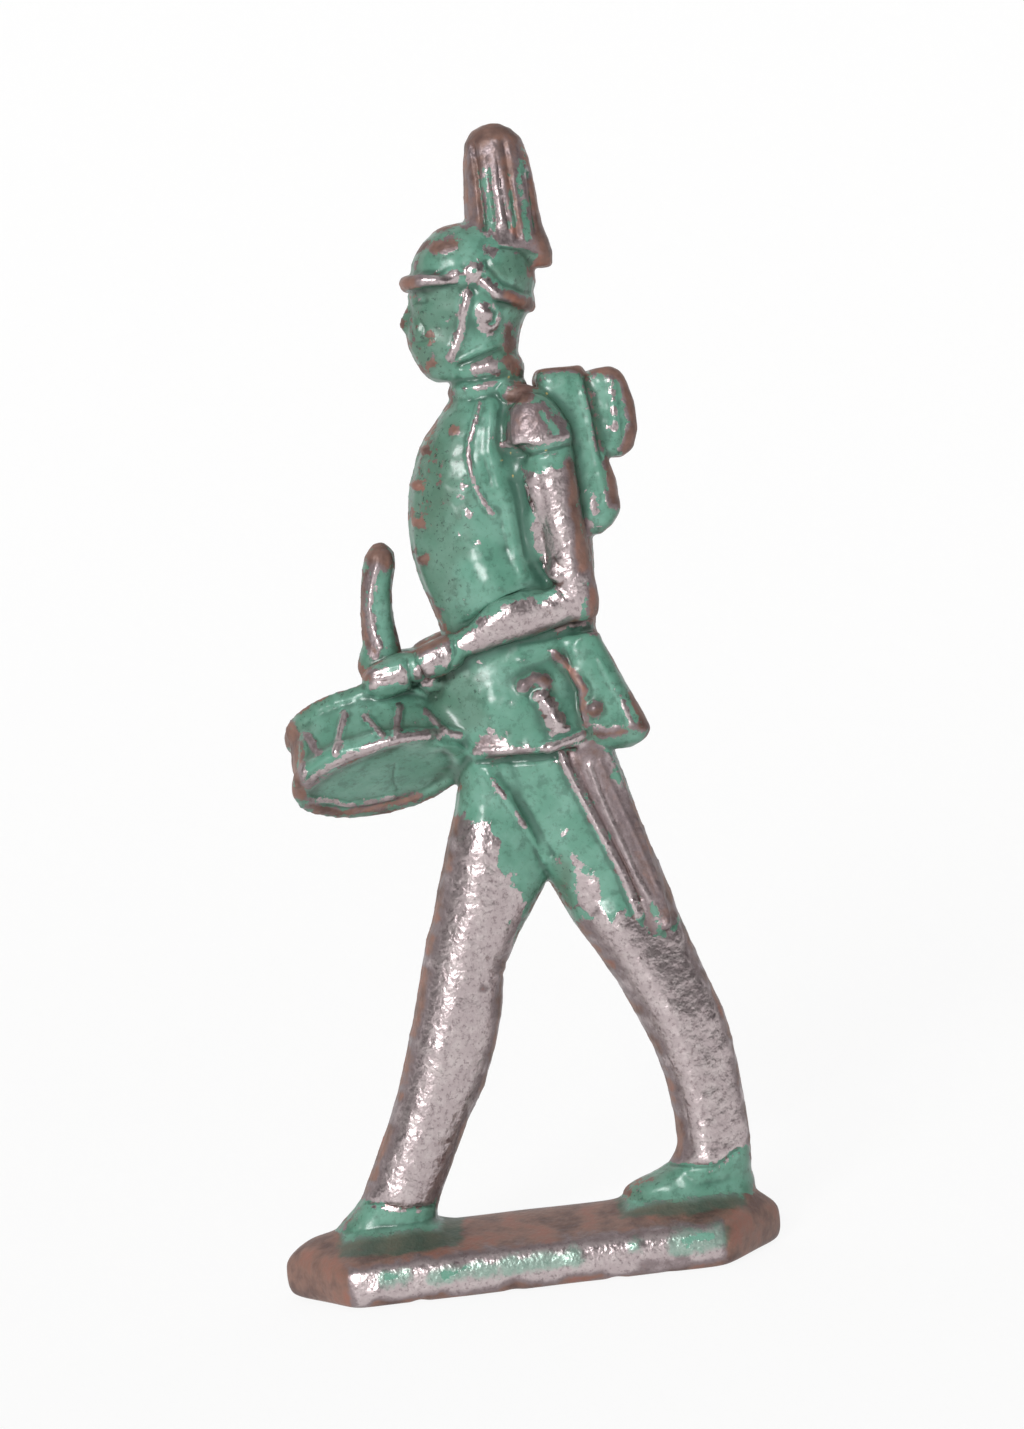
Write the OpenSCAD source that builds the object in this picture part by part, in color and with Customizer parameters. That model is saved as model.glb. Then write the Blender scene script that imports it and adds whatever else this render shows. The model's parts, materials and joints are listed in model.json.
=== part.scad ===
// Marching drummer, a half-round toy figure cast in metal on a base with pointed ends.
// The figure walks toward -X, its near side faces -Y and the base stands on the plane Z = 0.

/* [Base] */
// Length of the base from point to point
base_l = 29.4; // [25:0.2:36]
// Width of the base
base_d = 10; // [8:0.2:14]
// Height of the ridge along the middle of the base
base_h = 3.5; // [3:0.1:4.5]
// Height of the base along its long edges
base_edge_h = 2.4; // [1.8:0.1:2.8]
// Length of each pointed end
base_point_l = 3.7; // [2:0.1:6]

/* [Shoes and legs] */
// Place of the hips along the base, measured from its middle
body_x = 2.9; // [1.5:0.1:4.5]
// Height of the coat hem above the ridge of the base
leg_h = 27; // [23:0.2:31]
// Thickness of the thighs
leg_d = 4.4; // [3.6:0.1:5]
// Reach of the front leg from the hips to the ankle
front_leg_l = 12.6; // [11:0.1:14]
// Reach of the rear leg from the hips to the heel
rear_leg_l = 10.3; // [9:0.1:11.5]
// Length of the front shoe
front_shoe_l = 6; // [5:0.1:7]
// Height of the front shoe above the ridge of the base
front_shoe_h = 1.8; // [1.4:0.1:2.4]
// Length of the rear shoe
rear_shoe_l = 7.7; // [6.5:0.1:8.5]
// Height of the rear shoe above the ridge of the base
rear_shoe_h = 2.8; // [2.2:0.1:3.4]
// Thickness of the shoes
shoe_d = 3.6; // [3:0.1:4.4]

/* [Coat] */
// Length of the waist from front to back
waist_l = 9; // [8:0.1:10]
// Height of the coat skirt
skirt_h = 5.2; // [4.4:0.1:6]
// Thickness of the coat skirt at its hem
skirt_d = 6; // [5.2:0.1:6.6]
// Height of the sword belt
belt_h = 1.1; // [0.8:0.1:1.5]
// Thickness of the sword belt
belt_d = 5.5; // [5:0.1:6]
// Height of the tunic from belt to collar
tunic_h = 14; // [12.5:0.1:16]
// Length of the tunic from chest to back
tunic_l = 10.4; // [9.4:0.1:11.4]
// Thickness of the tunic
tunic_d = 5.6; // [5:0.1:6.2]
// Diameter of the tunic buttons
button_d = 0.8; // [0.6:0.05:1]
// Height of the coat tails
tail_h = 6.7; // [5.8:0.1:7.4]
// Length of the coat tails from their fold to the rear corner
tail_l = 4.4; // [3.8:0.1:5]
// Thickness of the coat tails
tail_d = 6; // [5.2:0.1:6.6]
// Diameter of the tail buttons
tail_button_d = 1.1; // [0.8:0.05:1.4]

/* [Head] */
// Height of the collar
collar_h = 2.2; // [1.8:0.1:2.8]
// Length of the collar from front to back
collar_l = 4.15; // [3.6:0.05:4.6]
// Thickness of the collar
collar_d = 3.7; // [3.2:0.1:4.2]
// Height of the head from chin to brow band
head_h = 5.9; // [5.2:0.1:6.6]
// Length of the head from face to nape
head_l = 6.5; // [5.8:0.1:7]
// Thickness of the head
head_d = 4.2; // [3.8:0.1:4.6]
// Thickness of the nose
nose_d = 0.7; // [0.5:0.05:0.9]
// Diameter of the ears
ear_d = 1.6; // [1.2:0.1:2]
// Diameter of the chin strap
chin_strap_d = 0.5; // [0.4:0.05:0.7]

/* [Helmet and plume] */
// Backward lean of the helmet in degrees
helmet_lean = 13; // [8:1:18]
// Length of the helmet from brow to nape
helmet_l = 7; // [6.6:0.1:7.6]
// Thickness of the helmet
helmet_d = 5.2; // [4.8:0.1:5.6]
// Height of the helmet dome above its band
helmet_h = 3.4; // [3:0.1:4]
// Height of the helmet band
band_h = 0.65; // [0.5:0.05:0.9]
// Thickness of the visor from side to side
visor_d = 5.8; // [5.4:0.1:6.4]
// Diameter of the bosses on the sides of the helmet
boss_d = 1.2; // [0.9:0.05:1.5]
// Height of the plume
plume_h = 8.2; // [6.8:0.1:9.8]
// Length of the plume from front to back
plume_l = 4.65; // [4:0.05:5.2]
// Thickness of the plume
plume_d = 3.4; // [2.8:0.1:4]
// Width of the grooves between the feather strands
groove_d = 0.5; // [0.3:0.05:0.7]

/* [Arms] */
// Width of the upper sleeve
upper_arm_w = 2.5; // [2.2:0.05:2.8]
// Thickness of the upper sleeve
upper_arm_d = 2.8; // [2.4:0.1:3.2]
// Downward slope of the forearm in degrees
forearm_slope = 17; // [14:1:20]
// Length of the lower sleeve from elbow to cuff
lower_sleeve_l = 7.4; // [6.8:0.1:8]
// Width of the lower sleeve at the elbow
lower_sleeve_w = 2.4; // [2.1:0.05:2.7]
// Thickness of the lower sleeve at the elbow
lower_sleeve_d = 2.4; // [2.1:0.05:2.7]
// Length of the cuff
cuff_l = 2.2; // [1.8:0.1:2.6]
// Width of the cuff
cuff_w = 2.1; // [1.8:0.05:2.4]
// Thickness of the cuff
cuff_d = 2.4; // [2.1:0.05:2.7]
// Length of the hand
hand_l = 3.4; // [3:0.1:3.8]
// Width of the hand
hand_w = 2.1; // [1.8:0.05:2.4]
// Thickness of the hand
hand_d = 2.4; // [2.1:0.05:2.7]
// Length of the epaulette from front to back
epaulette_l = 3.9; // [3.4:0.1:4.4]
// Height of the epaulette
epaulette_h = 2.6; // [2.2:0.1:3]
// Thickness of the epaulette
epaulette_d = 3; // [2.6:0.1:3.4]
// Diameter of the shoulder tabs
tab_d = 1; // [0.8:0.05:1.3]

/* [Drum] */
// Length of the drum across its lower rim
drum_l = 9.8; // [9:0.1:10.6]
// Width of the drum across its lower rim
drum_d = 7; // [6.2:0.1:7.6]
// Height of the drum over both hoops
drum_h = 4.2; // [3.6:0.1:4.8]
// Sideways tilt of the drum in degrees
drum_tilt = 38; // [30:1:44]
// Rise of the drum toward the body in degrees
drum_rise = 6; // [2:1:10]
// Height of each hoop
hoop_h = 0.75; // [0.6:0.05:1]
// Overhang of the hoops beyond the shell
hoop_lip = 0.25; // [0.15:0.05:0.4]
// Width of each hoop between its rim and the drum skin
hoop_w = 0.7; // [0.5:0.05:1]
// Depth of the drum skins below the rims of the hoops
skin_drop = 0.25; // [0.15:0.05:0.4]
// Diameter of the tension cords
cord_d = 0.5; // [0.4:0.05:0.7]
// Number of cord loops around the drum
cord_loops = 8; // [6:1:10]
// Height of the drumstick
stick_h = 7.9; // [7:0.1:9]
// Width of the drumstick
stick_w = 1.8; // [1.5:0.05:2.1]
// Thickness of the drumstick
stick_d = 1.7; // [1.4:0.05:2]

/* [Knapsack] */
// Height of the knapsack
pack_h = 9.6; // [8.6:0.1:10.6]
// Length of the knapsack from the back outward
pack_l = 3.9; // [3.4:0.1:4.4]
// Width of the knapsack
pack_d = 5.2; // [4.6:0.1:5.8]
// Height of the mess tin
tin_h = 5; // [4.4:0.1:5.6]
// Length of the mess tin from the knapsack outward
tin_l = 2.4; // [2:0.1:2.8]
// Width of the mess tin
tin_d = 4.2; // [3.6:0.1:4.8]
// Width of the knapsack straps
strap_w = 1.2; // [0.9:0.05:1.5]

/* [Sabre] */
// Lean of the sabre in degrees
sabre_lean = 16; // [13:1:19]
// Length of the scabbard
scabbard_l = 12.2; // [11:0.1:13.5]
// Width of the scabbard
scabbard_w = 1.9; // [1.6:0.05:2.2]
// Thickness of the scabbard
scabbard_d = 1.5; // [1.2:0.05:1.8]
// Slope of the hilt in degrees
hilt_slope = 54; // [46:1:62]
// Length of the hilt from pommel to guard
hilt_l = 3.6; // [3.2:0.1:4]
// Diameter of the pommel and the guard
pommel_d = 1.2; // [1:0.05:1.5]
// Diameter of the grip
grip_d = 0.9; // [0.7:0.05:1.1]

/* [Hidden] */
paint = [0.42, 0.60, 0.53];
bare_metal = [0.72, 0.67, 0.67];
brown = [0.50, 0.38, 0.34];
near = 0;
far = 1;
// Sides of a swept section, of a rounded bar and of a ball that shows
sides = 20;
bar_sides = 8;
ball_sides = 14;
// Power of the sections: 2 is an ellipse, larger is boxier
oval_power = 2;
round_power = 2.4;
box_power = 5;
// Overrun of the cuts
cut = 1;

// Levels from the ground up
front_ankle_z = base_h + front_shoe_h;
rear_ankle_z = base_h + rear_shoe_h;
hem_z = base_h + leg_h;
belt_z = hem_z + skirt_h;
tunic_z = belt_z + belt_h;
collar_z = tunic_z + tunic_h;
head_z = collar_z + 0.55 * collar_h;

// Sizes of the pieces that carry others: length, thickness and height
tunic_size = [tunic_l, tunic_d, tunic_h];
head_size = [head_l, head_d, head_h];
plume_size = [plume_l, plume_d, plume_h];

// Rows of the tables of sections: height, front edge, back edge and thickness
front_ankle_share = 0.28;
front_shoe_shares = [
    [0, 0, 0.99, 1], [0.41, 0, 0.99, 1], [0.48, 0.03, 0.99, 0.95], [0.66, 0.12, 0.98, 0.93],
    [0.83, 0.21, 1, 0.9], [1, front_ankle_share, 1.03, 0.87]
];
rear_shoe_shares = [
    [0, 0, 1, 1], [0.36, 0, 1, 1], [0.44, 0.02, 0.99, 0.96], [0.51, 0.07, 0.98, 0.92],
    [0.62, 0.25, 0.98, 0.9], [0.74, 0.37, 0.99, 0.9], [0.87, 0.42, 0.99, 0.88], [1, 0.45, 0.99, 0.87]
];
front_leg_shares = [
    [0, -1, -0.64, 0.7], [0.08, -0.91, -0.56, 0.7], [0.16, -0.83, -0.48, 0.72],
    [0.24, -0.76, -0.38, 0.76], [0.32, -0.71, -0.32, 0.82], [0.4, -0.66, -0.27, 0.86],
    [0.48, -0.62, -0.25, 0.86], [0.52, -0.6, -0.22, 0.86], [0.58, -0.57, -0.15, 0.9],
    [0.63, -0.53, -0.08, 0.94], [0.7, -0.49, 0.01, 0.98], [0.75, -0.45, 0.02, 1],
    [0.83, -0.4, 0, 1.02], [0.91, -0.36, -0.04, 1.02], [1, -0.32, -0.07, 1]
];
rear_leg_shares = [
    [0, 0.6, 1, 0.7], [0.08, 0.6, 0.99, 0.7], [0.17, 0.57, 0.97, 0.74], [0.25, 0.52, 0.95, 0.8],
    [0.33, 0.44, 0.91, 0.86], [0.41, 0.36, 0.84, 0.88], [0.5, 0.24, 0.77, 0.9],
    [0.58, 0.13, 0.71, 0.94], [0.62, 0.09, 0.69, 0.96], [0.69, 0.01, 0.64, 1],
    [0.74, -0.09, 0.6, 1], [0.83, -0.18, 0.54, 1], [0.91, -0.25, 0.49, 1], [1, -0.29, 0.44, 1]
];
skirt_shares = [
    [0, -0.49, 0.49, 1], [0.08, -0.51, 0.5, 1.02], [0.3, -0.53, 0.5, 1], [0.55, -0.56, 0.49, 0.96],
    [0.8, -0.58, 0.48, 0.92], [1, -0.59, 0.48, 0.88]
];
belt_shares = [
    [0, -0.58, 0.47, 0.97], [0.2, -0.59, 0.48, 1], [0.5, -0.58, 0.48, 1], [0.8, -0.55, 0.48, 1],
    [1, -0.53, 0.47, 0.96]
];
tunic_shares = [
    [0, -0.42, 0.41, 0.9], [0.11, -0.44, 0.43, 0.92], [0.25, -0.5, 0.44, 0.96], [0.39, -0.54, 0.45, 1],
    [0.54, -0.54, 0.44, 1], [0.68, -0.51, 0.42, 1], [0.82, -0.44, 0.38, 0.96], [0.89, -0.37, 0.36, 0.9],
    [0.96, -0.29, 0.34, 0.76], [1, -0.25, 0.32, 0.64]
];
tail_shares = [
    [0, 0.5, 0.75, 0.7], [0.06, 0.32, 0.94, 0.9], [0.14, 0.2, 1.01, 1], [0.22, 0.15, 0.97, 1],
    [0.37, 0.12, 0.87, 1], [0.6, 0.05, 0.71, 0.97], [0.82, 0, 0.57, 0.93], [1, -0.05, 0.46, 0.88]
];
collar_shares = [
    [0, -0.5, 0.55, 1], [0.2, -0.53, 0.55, 1.05], [0.42, -0.48, 0.5, 0.96], [0.66, -0.5, 0.52, 1],
    [0.84, -0.49, 0.51, 0.98], [1, -0.44, 0.47, 0.9]
];
head_shares = [
    [0, -0.42, 0.28, 0.55], [0.05, -0.5, 0.29, 0.68], [0.14, -0.56, 0.29, 0.8], [0.25, -0.61, 0.3, 0.9],
    [0.4, -0.65, 0.33, 0.95], [0.54, -0.64, 0.39, 1], [0.64, -0.61, 0.45, 1], [0.73, -0.6, 0.45, 1],
    [0.9, -0.59, 0.38, 0.98], [1, -0.56, 0.32, 0.92]
];
band_shares = [
    [0, -0.49, 0.52, 1.04], [0.2, -0.5, 0.53, 1.06], [0.5, -0.5, 0.53, 1.06], [0.8, -0.49, 0.52, 1.05],
    [1, -0.48, 0.51, 1.03]
];
dome_shares = [
    [0, -0.48, 0.5, 1], [0.24, -0.48, 0.52, 0.98], [0.5, -0.44, 0.47, 0.92], [0.73, -0.37, 0.4, 0.8],
    [0.9, -0.28, 0.3, 0.6], [1, -0.13, 0.19, 0.35]
];
visor_shares = [
    [0.1, -0.53, -0.02, 0.92], [0.3, -0.55, 0, 0.98], [0.5, -0.56, 0.01, 1], [0.75, -0.55, 0, 0.98],
    [0.95, -0.53, -0.02, 0.94]
];
plume_shares = [
    [0, 0.26, 0.52, 0.5], [0.08, 0.04, 0.54, 0.75], [0.16, -0.24, 0.52, 0.95], [0.28, -0.42, 0.45, 1],
    [0.38, -0.45, 0.43, 1], [0.57, -0.43, 0.41, 1], [0.76, -0.4, 0.37, 0.95], [0.89, -0.36, 0.3, 0.85],
    [0.96, -0.28, 0.19, 0.65], [1, -0.13, 0.06, 0.4]
];
upper_sleeve_shares = [
    [0, 0.16, 0.68, 0.55], [0.05, -0.04, 0.8, 0.85], [0.16, -0.14, 0.82, 1], [0.36, -0.16, 0.74, 1],
    [0.55, -0.26, 0.66, 1], [0.74, -0.38, 0.62, 1], [1, -0.54, 0.58, 1]
];
lower_sleeve_shares = [
    [0, -0.52, 0.48, 1], [0.27, -0.48, 0.52, 1], [0.54, -0.42, 0.48, 0.95], [0.8, -0.33, 0.36, 0.85],
    [1, -0.29, 0.28, 0.75]
];
cuff_shares = [
    [0, -0.46, 0.36, 0.9], [0.2, -0.52, 0.4, 1], [0.5, -0.55, 0.4, 1], [0.8, -0.55, 0.38, 1],
    [1, -0.48, 0.33, 0.92]
];
hand_shares = [
    [0, -0.4, 0.3, 0.8], [0.25, -0.5, 0.4, 1], [0.6, -0.5, 0.42, 1], [0.85, -0.42, 0.36, 0.9],
    [1, -0.2, 0.2, 0.5]
];
epaulette_shares = [
    [0, -0.5, 0.5, 1], [0.3, -0.48, 0.46, 0.97], [0.6, -0.4, 0.36, 0.86], [0.85, -0.26, 0.24, 0.66],
    [1, -0.12, 0.1, 0.4]
];
stick_shares = [
    [0, -0.7, 0.5, 1], [0.12, -0.85, 0.5, 1], [0.2, -0.78, 0.5, 1], [0.28, -0.6, 0.47, 1], [0.4, -0.58, 0.4, 0.95],
    [0.52, -0.58, 0.36, 0.95], [0.65, -0.5, 0.38, 0.95], [0.74, -0.42, 0.48, 1], [0.84, -0.36, 0.62, 1.05],
    [0.92, -0.24, 0.61, 0.95], [0.97, -0.08, 0.46, 0.6], [1, 0.08, 0.31, 0.3]
];
drum_shares = [[0, -0.5, 0.5, 1], [1, -0.48, 0.5, 0.97]];
pack_shares = [
    [0, -0.17, 0.14, 0.8], [0.05, -0.23, 0.32, 0.94], [0.13, -0.28, 0.46, 1], [0.31, -0.33, 0.44, 1],
    [0.43, -0.38, 0.35, 1], [0.58, -0.43, 0.29, 1], [0.8, -0.51, 0.24, 1], [0.94, -0.58, 0.18, 0.97],
    [1, -0.53, 0.11, 0.85]
];
tin_shares = [
    [0, 0.05, 0.58, 0.8], [0.08, 0, 0.82, 0.95], [0.28, 0, 0.95, 1], [0.57, -0.05, 0.95, 1],
    [0.86, -0.09, 0.8, 1], [0.95, -0.09, 0.68, 0.93], [1, 0, 0.5, 0.8]
];
scabbard_shares = [
    [0, -0.5, 0.5, 1], [0.25, -0.5, 0.5, 1], [0.5, -0.47, 0.46, 0.97], [0.8, -0.38, 0.36, 0.9],
    [0.95, -0.3, 0.28, 0.8], [1, -0.2, 0.18, 0.5]
];

// Points on the near side of the piece that carries them: length, thickness and height
button_shares = [[-0.5, -0.26, 0.4], [-0.5, -0.26, 0.55], [-0.45, -0.28, 0.7], [-0.38, -0.28, 0.84]];
strap_shares = [
    [-0.06, -0.34, 0.97], [-0.1, -0.44, 0.87], [-0.09, -0.47, 0.76], [-0.04, -0.48, 0.65],
    [0.03, -0.49, 0.54], [0.14, -0.48, 0.44]
];
tab_shares = [[0.06, -0.34, 1.01], [0.15, -0.39, 0.995], [0.23, -0.41, 0.97]];
nose_shares = [[-0.57, 0, 0.72], [-0.65, 0, 0.57], [-0.58, 0, 0.52]];
ear_share = [0.05, -0.45, 0.58];
chin_strap_shares = [
    [-0.1, -0.53, 0.96], [-0.16, -0.53, 0.7], [-0.21, -0.51, 0.46], [-0.26, -0.48, 0.25]
];
// Foot, middle and tip of each groove in the plume along its length, and their heights
groove_x_shares = [[-0.16, -0.24, -0.19], [0.06, -0.02, -0.03], [0.28, 0.2, 0.12]];
groove_z_shares = [0.12, 0.55, 0.9];

// Places along the body, from the pieces that carry them
front_shoe_x = body_x - front_leg_l - front_ankle_share * front_shoe_l;
rear_shoe_x = body_x + rear_leg_l - rear_shoe_l;
neck_x = body_x - 0.04 * tunic_l;
helmet_x = neck_x - 0.08 * head_l;
helmet_z = head_z + 0.775 * head_h;
plume_x = helmet_x + 0.35 * helmet_l;
plume_z = helmet_z + 0.4 * helmet_h;
arm_x = body_x + 0.23 * tunic_l;
arm_y = -0.48 * tunic_d;
shoulder_z = tunic_z + 0.8 * tunic_h;
elbow_bottom_z = tunic_z + 0.06 * tunic_h;
elbow_x = arm_x + 0.34 * upper_arm_w;
elbow_z = tunic_z + 0.16 * tunic_h;
cuff_reach = lower_sleeve_l + cuff_l;
grip_reach = cuff_reach + 0.55 * hand_l;
stick_x = elbow_x - grip_reach * cos(forearm_slope) - 0.1 * stick_w;
stick_z = elbow_z - grip_reach * sin(forearm_slope) - 0.25 * hand_w;
drum_x = body_x - 0.55 * waist_l - 0.4 * drum_l;
drum_y = -drum_h * sin(drum_tilt) / 2;
drum_z = hem_z - 0.15 * skirt_h;
pack_x = body_x + 0.44 * tunic_l;
pack_z = tunic_z + 0.4 * tunic_h;
tin_x = pack_x + 0.24 * pack_l;
tin_z = pack_z + 0.45 * pack_h;
tail_x = body_x + 0.26 * waist_l;
tail_z = hem_z - 0.08 * skirt_h;
scabbard_x = body_x + 0.34 * waist_l;
scabbard_y = -0.42 * leg_d;
scabbard_z = hem_z + 0.12 * skirt_h;
guard_x = body_x + 0.24 * waist_l;
hilt_y = -0.46 * skirt_d;
guard_z = hem_z + 0.3 * skirt_h;

// One coordinate of a rounded section, from -1 to 1
function swell(value, power) = sign(value) * pow(abs(value), 2 / power);

// Closed outline of one section at its height, size is length, thickness and height
function ring(row, size, power) = [
    for (i = [0 : sides - 1])
        let (turn = 360 * i / sides)
        [
            size.x * (row[1] + row[2]) / 2 + size.x * (row[2] - row[1]) / 2 * swell(cos(turn), power),
            size.y * row[3] / 2 * swell(sin(turn), power),
            size.z * row[0]
        ]
];

// Row halfway between rows i and i + 1, on a smooth curve through the table
function between(rows, i) =
    let (before = rows[max(i - 1, 0)])
    let (after = rows[min(i + 2, len(rows) - 1)])
    (9 * (rows[i] + rows[i + 1]) - before - after) / 16;

// Table with a smooth row added between each two rows
function refined(rows) = [
    for (i = [0 : len(rows) - 1])
        each (i < len(rows) - 1 ? [rows[i], between(rows, i)] : [rows[i]])
];

// Points given as shares of a size
function placed(shares, size) = [
    for (share = shares) [share.x * size.x, share.y * size.y, share.z * size.z]
];

// Solid swept through a table of sections
module loft(rows, size, power = round_power) {
    rings = [for (row = rows) ring(row, size, power)];
    lower_face = [for (j = [0 : sides - 1]) j];
    upper_face = [for (j = [sides - 1 : -1 : 0]) sides + j];
    side_faces = [
        for (j = [0 : sides - 1]) [j, sides + j, sides + (j + 1) % sides, (j + 1) % sides]
    ];
    for (i = [0 : len(rings) - 2]) {
        hull() polyhedron(concat(rings[i], rings[i + 1]), concat([lower_face, upper_face], side_faces));
    }
}

// Ball of a given diameter
module ball(d) {
    sphere(d = d, $fn = ball_sides);
}

// Rounded bar through a list of points
module bar(points, d) {
    for (i = [0 : len(points) - 2]) {
        hull() {
            translate(points[i]) sphere(d = d, $fn = bar_sides);
            translate(points[i + 1]) sphere(d = d, $fn = bar_sides);
        }
    }
}

// Turns a near side piece into its far side twin
module on_side(side) {
    mirror([0, side, 0]) children();
}

// Makes a near side piece and its far side twin
module on_both_sides() {
    on_side(near) children();
    on_side(far) children();
}

// Long six-sided outline of the base
module base_outline() {
    shoulder_x = base_l / 2 - base_point_l;
    polygon([
        [-base_l / 2, 0], [-shoulder_x, -base_d / 2], [shoulder_x, -base_d / 2],
        [base_l / 2, 0], [shoulder_x, base_d / 2], [-shoulder_x, base_d / 2]
    ]);
}

module base_form() {
    foot_share = 0.985;
    foot_h_share = 0.25;
    ridge_l_share = 0.87;
    ridge_d_share = 0.06;
    ridge_h_share = 0.02;
    hull() {
        linear_extrude(base_edge_h) scale(foot_share) base_outline();
        translate([0, 0, foot_h_share * base_edge_h])
            linear_extrude(base_edge_h * (1 - foot_h_share)) base_outline();
        translate([0, 0, base_h * (1 - ridge_h_share)])
            linear_extrude(base_h * ridge_h_share)
                square([base_l * ridge_l_share, base_d * ridge_d_share], center = true);
    }
}

module front_shoe_form() {
    translate([front_shoe_x, 0, base_edge_h])
        loft(refined(front_shoe_shares), [front_shoe_l, shoe_d, front_ankle_z - base_edge_h]);
}

module rear_shoe_form() {
    translate([rear_shoe_x, 0, base_edge_h])
        loft(rear_shoe_shares, [rear_shoe_l, shoe_d, rear_ankle_z - base_edge_h]);
}

module front_leg_form() {
    translate([body_x, 0, front_ankle_z])
        loft(front_leg_shares, [front_leg_l, leg_d, hem_z - front_ankle_z]);
}

module rear_leg_form() {
    translate([body_x, 0, rear_ankle_z])
        loft(rear_leg_shares, [rear_leg_l, leg_d, hem_z - rear_ankle_z]);
}

module skirt_form() {
    translate([body_x, 0, hem_z]) loft(refined(skirt_shares), [waist_l, skirt_d, skirt_h]);
}

module belt_form() {
    translate([body_x, 0, belt_z]) loft(refined(belt_shares), [waist_l, belt_d, belt_h]);
}

// Places a piece in the frame of the tunic, whose origin is the middle of its foot
module tunic_place() {
    translate([body_x, 0, tunic_z]) children();
}

module tunic_form() {
    tunic_place() loft(refined(tunic_shares), tunic_size);
}

module tail_form() {
    translate([tail_x, 0, tail_z]) loft(tail_shares, [tail_l, tail_d, tail_h], box_power);
}

module collar_form() {
    translate([neck_x, 0, collar_z]) loft(refined(collar_shares), [collar_l, collar_d, collar_h]);
}

// Places a piece in the frame of the head, whose origin is below the chin
module head_place() {
    translate([neck_x, 0, head_z]) children();
}

module head_form() {
    head_place() loft(refined(head_shares), head_size);
}

// Places a piece in the leaning frame of the helmet, whose origin is the middle of the band
module helmet_place() {
    translate([helmet_x, 0, helmet_z]) rotate([0, helmet_lean, 0]) children();
}

module band_form() {
    helmet_place() loft(refined(band_shares), [helmet_l, helmet_d, band_h]);
}

module dome_form() {
    helmet_place() translate([0, 0, band_h]) loft(refined(dome_shares), [helmet_l, helmet_d, helmet_h]);
}

module whole_helmet_form() {
    hull() {
        band_form();
        dome_form();
    }
}

module upper_sleeve_form() {
    translate([arm_x, arm_y, elbow_bottom_z])
        loft(refined(upper_sleeve_shares), [upper_arm_w, upper_arm_d, shoulder_z - elbow_bottom_z]);
}

// Places a piece along the forearm, at a reach from the elbow and a share of the arm's side distance
module forearm_place(reach, side_share) {
    translate([elbow_x, side_share * arm_y, elbow_z])
        rotate([0, -90 - forearm_slope, 0])
            translate([0, 0, reach]) children();
}

module lower_sleeve_form() {
    forearm_place(0, 1.02)
        loft(refined(lower_sleeve_shares), [lower_sleeve_w, lower_sleeve_d, lower_sleeve_l]);
}

module cuff_form() {
    forearm_place(lower_sleeve_l, 0.93) loft(refined(cuff_shares), [cuff_w, cuff_d, cuff_l]);
}

module hand_form() {
    forearm_place(cuff_reach, 0.68) loft(refined(hand_shares), [hand_w, hand_d, hand_l]);
}

module epaulette_form() {
    translate([arm_x - 0.16 * upper_arm_w, arm_y, shoulder_z])
        loft(refined(epaulette_shares), [epaulette_l, epaulette_d, epaulette_h]);
}

module tab_form() {
    tunic_place() bar(placed(tab_shares, tunic_size), tab_d);
}

module pack_form() {
    translate([pack_x, 0, pack_z]) loft(pack_shares, [pack_l, pack_d, pack_h], box_power);
}

// Places a piece in the tilted frame of the drum, whose origin is the middle of the lower rim
module drum_place() {
    translate([drum_x, drum_y, drum_z]) rotate([-drum_tilt, -drum_rise, 0]) children();
}

// Row of the tapering drum at one height, grown beyond the shell by a margin
function drum_row(z, margin) =
    let (up_share = z / drum_h)
    let (row = drum_shares[0] + up_share * (drum_shares[1] - drum_shares[0]))
    [up_share, row[1] - margin / drum_l, row[2] + margin / drum_l, row[3] + 2 * margin / drum_d];

// Slice of the drum between two heights, grown beyond the shell by a margin
module drum_slice(from_z, to_z, margin) {
    loft([drum_row(from_z, margin), drum_row(to_z, margin)], [drum_l, drum_d, drum_h], oval_power);
}

module drum_form() {
    drum_place() drum_slice(0, drum_h, hoop_lip);
}

module scabbard_form() {
    translate([scabbard_x, scabbard_y, scabbard_z])
        rotate([0, 180 - sabre_lean, 0])
            loft(scabbard_shares, [scabbard_w, scabbard_d, scabbard_l]);
}

module base_plate() {
    color(brown) base_form();
}

module front_shoe() {
    color(paint) difference() {
        front_shoe_form();
        base_form();
    }
}

module rear_shoe() {
    color(paint) difference() {
        rear_shoe_form();
        base_form();
    }
}

module front_leg() {
    color(bare_metal) difference() {
        front_leg_form();
        drum_form();
    }
}

module rear_leg() {
    color(bare_metal) difference() {
        rear_leg_form();
        front_leg_form();
        drum_form();
    }
}

module coat_skirt() {
    color(paint) difference() {
        skirt_form();
        drum_form();
    }
}

module sword_belt() {
    color(paint) difference() {
        belt_form();
        drum_form();
    }
}

module tunic() {
    color(paint) tunic_form();
}

// Two rows of buttons down the front edge of the tunic
module tunic_buttons() {
    color(brown) difference() {
        on_both_sides() tunic_place() {
            for (place = placed(button_shares, tunic_size)) {
                translate(place) sphere(d = button_d, $fn = bar_sides);
            }
        }
        tunic_form();
    }
}

module coat_tails() {
    color(paint) difference() {
        tail_form();
        skirt_form();
        belt_form();
        tunic_form();
    }
}

module tail_buttons() {
    color(brown) difference() {
        on_both_sides()
            translate([tail_x + 0.38 * tail_l, -tail_d / 2, tail_z + 0.44 * tail_h])
                ball(tail_button_d);
        tail_form();
        skirt_form();
    }
}

module collar() {
    color(paint) collar_form();
}

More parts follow.
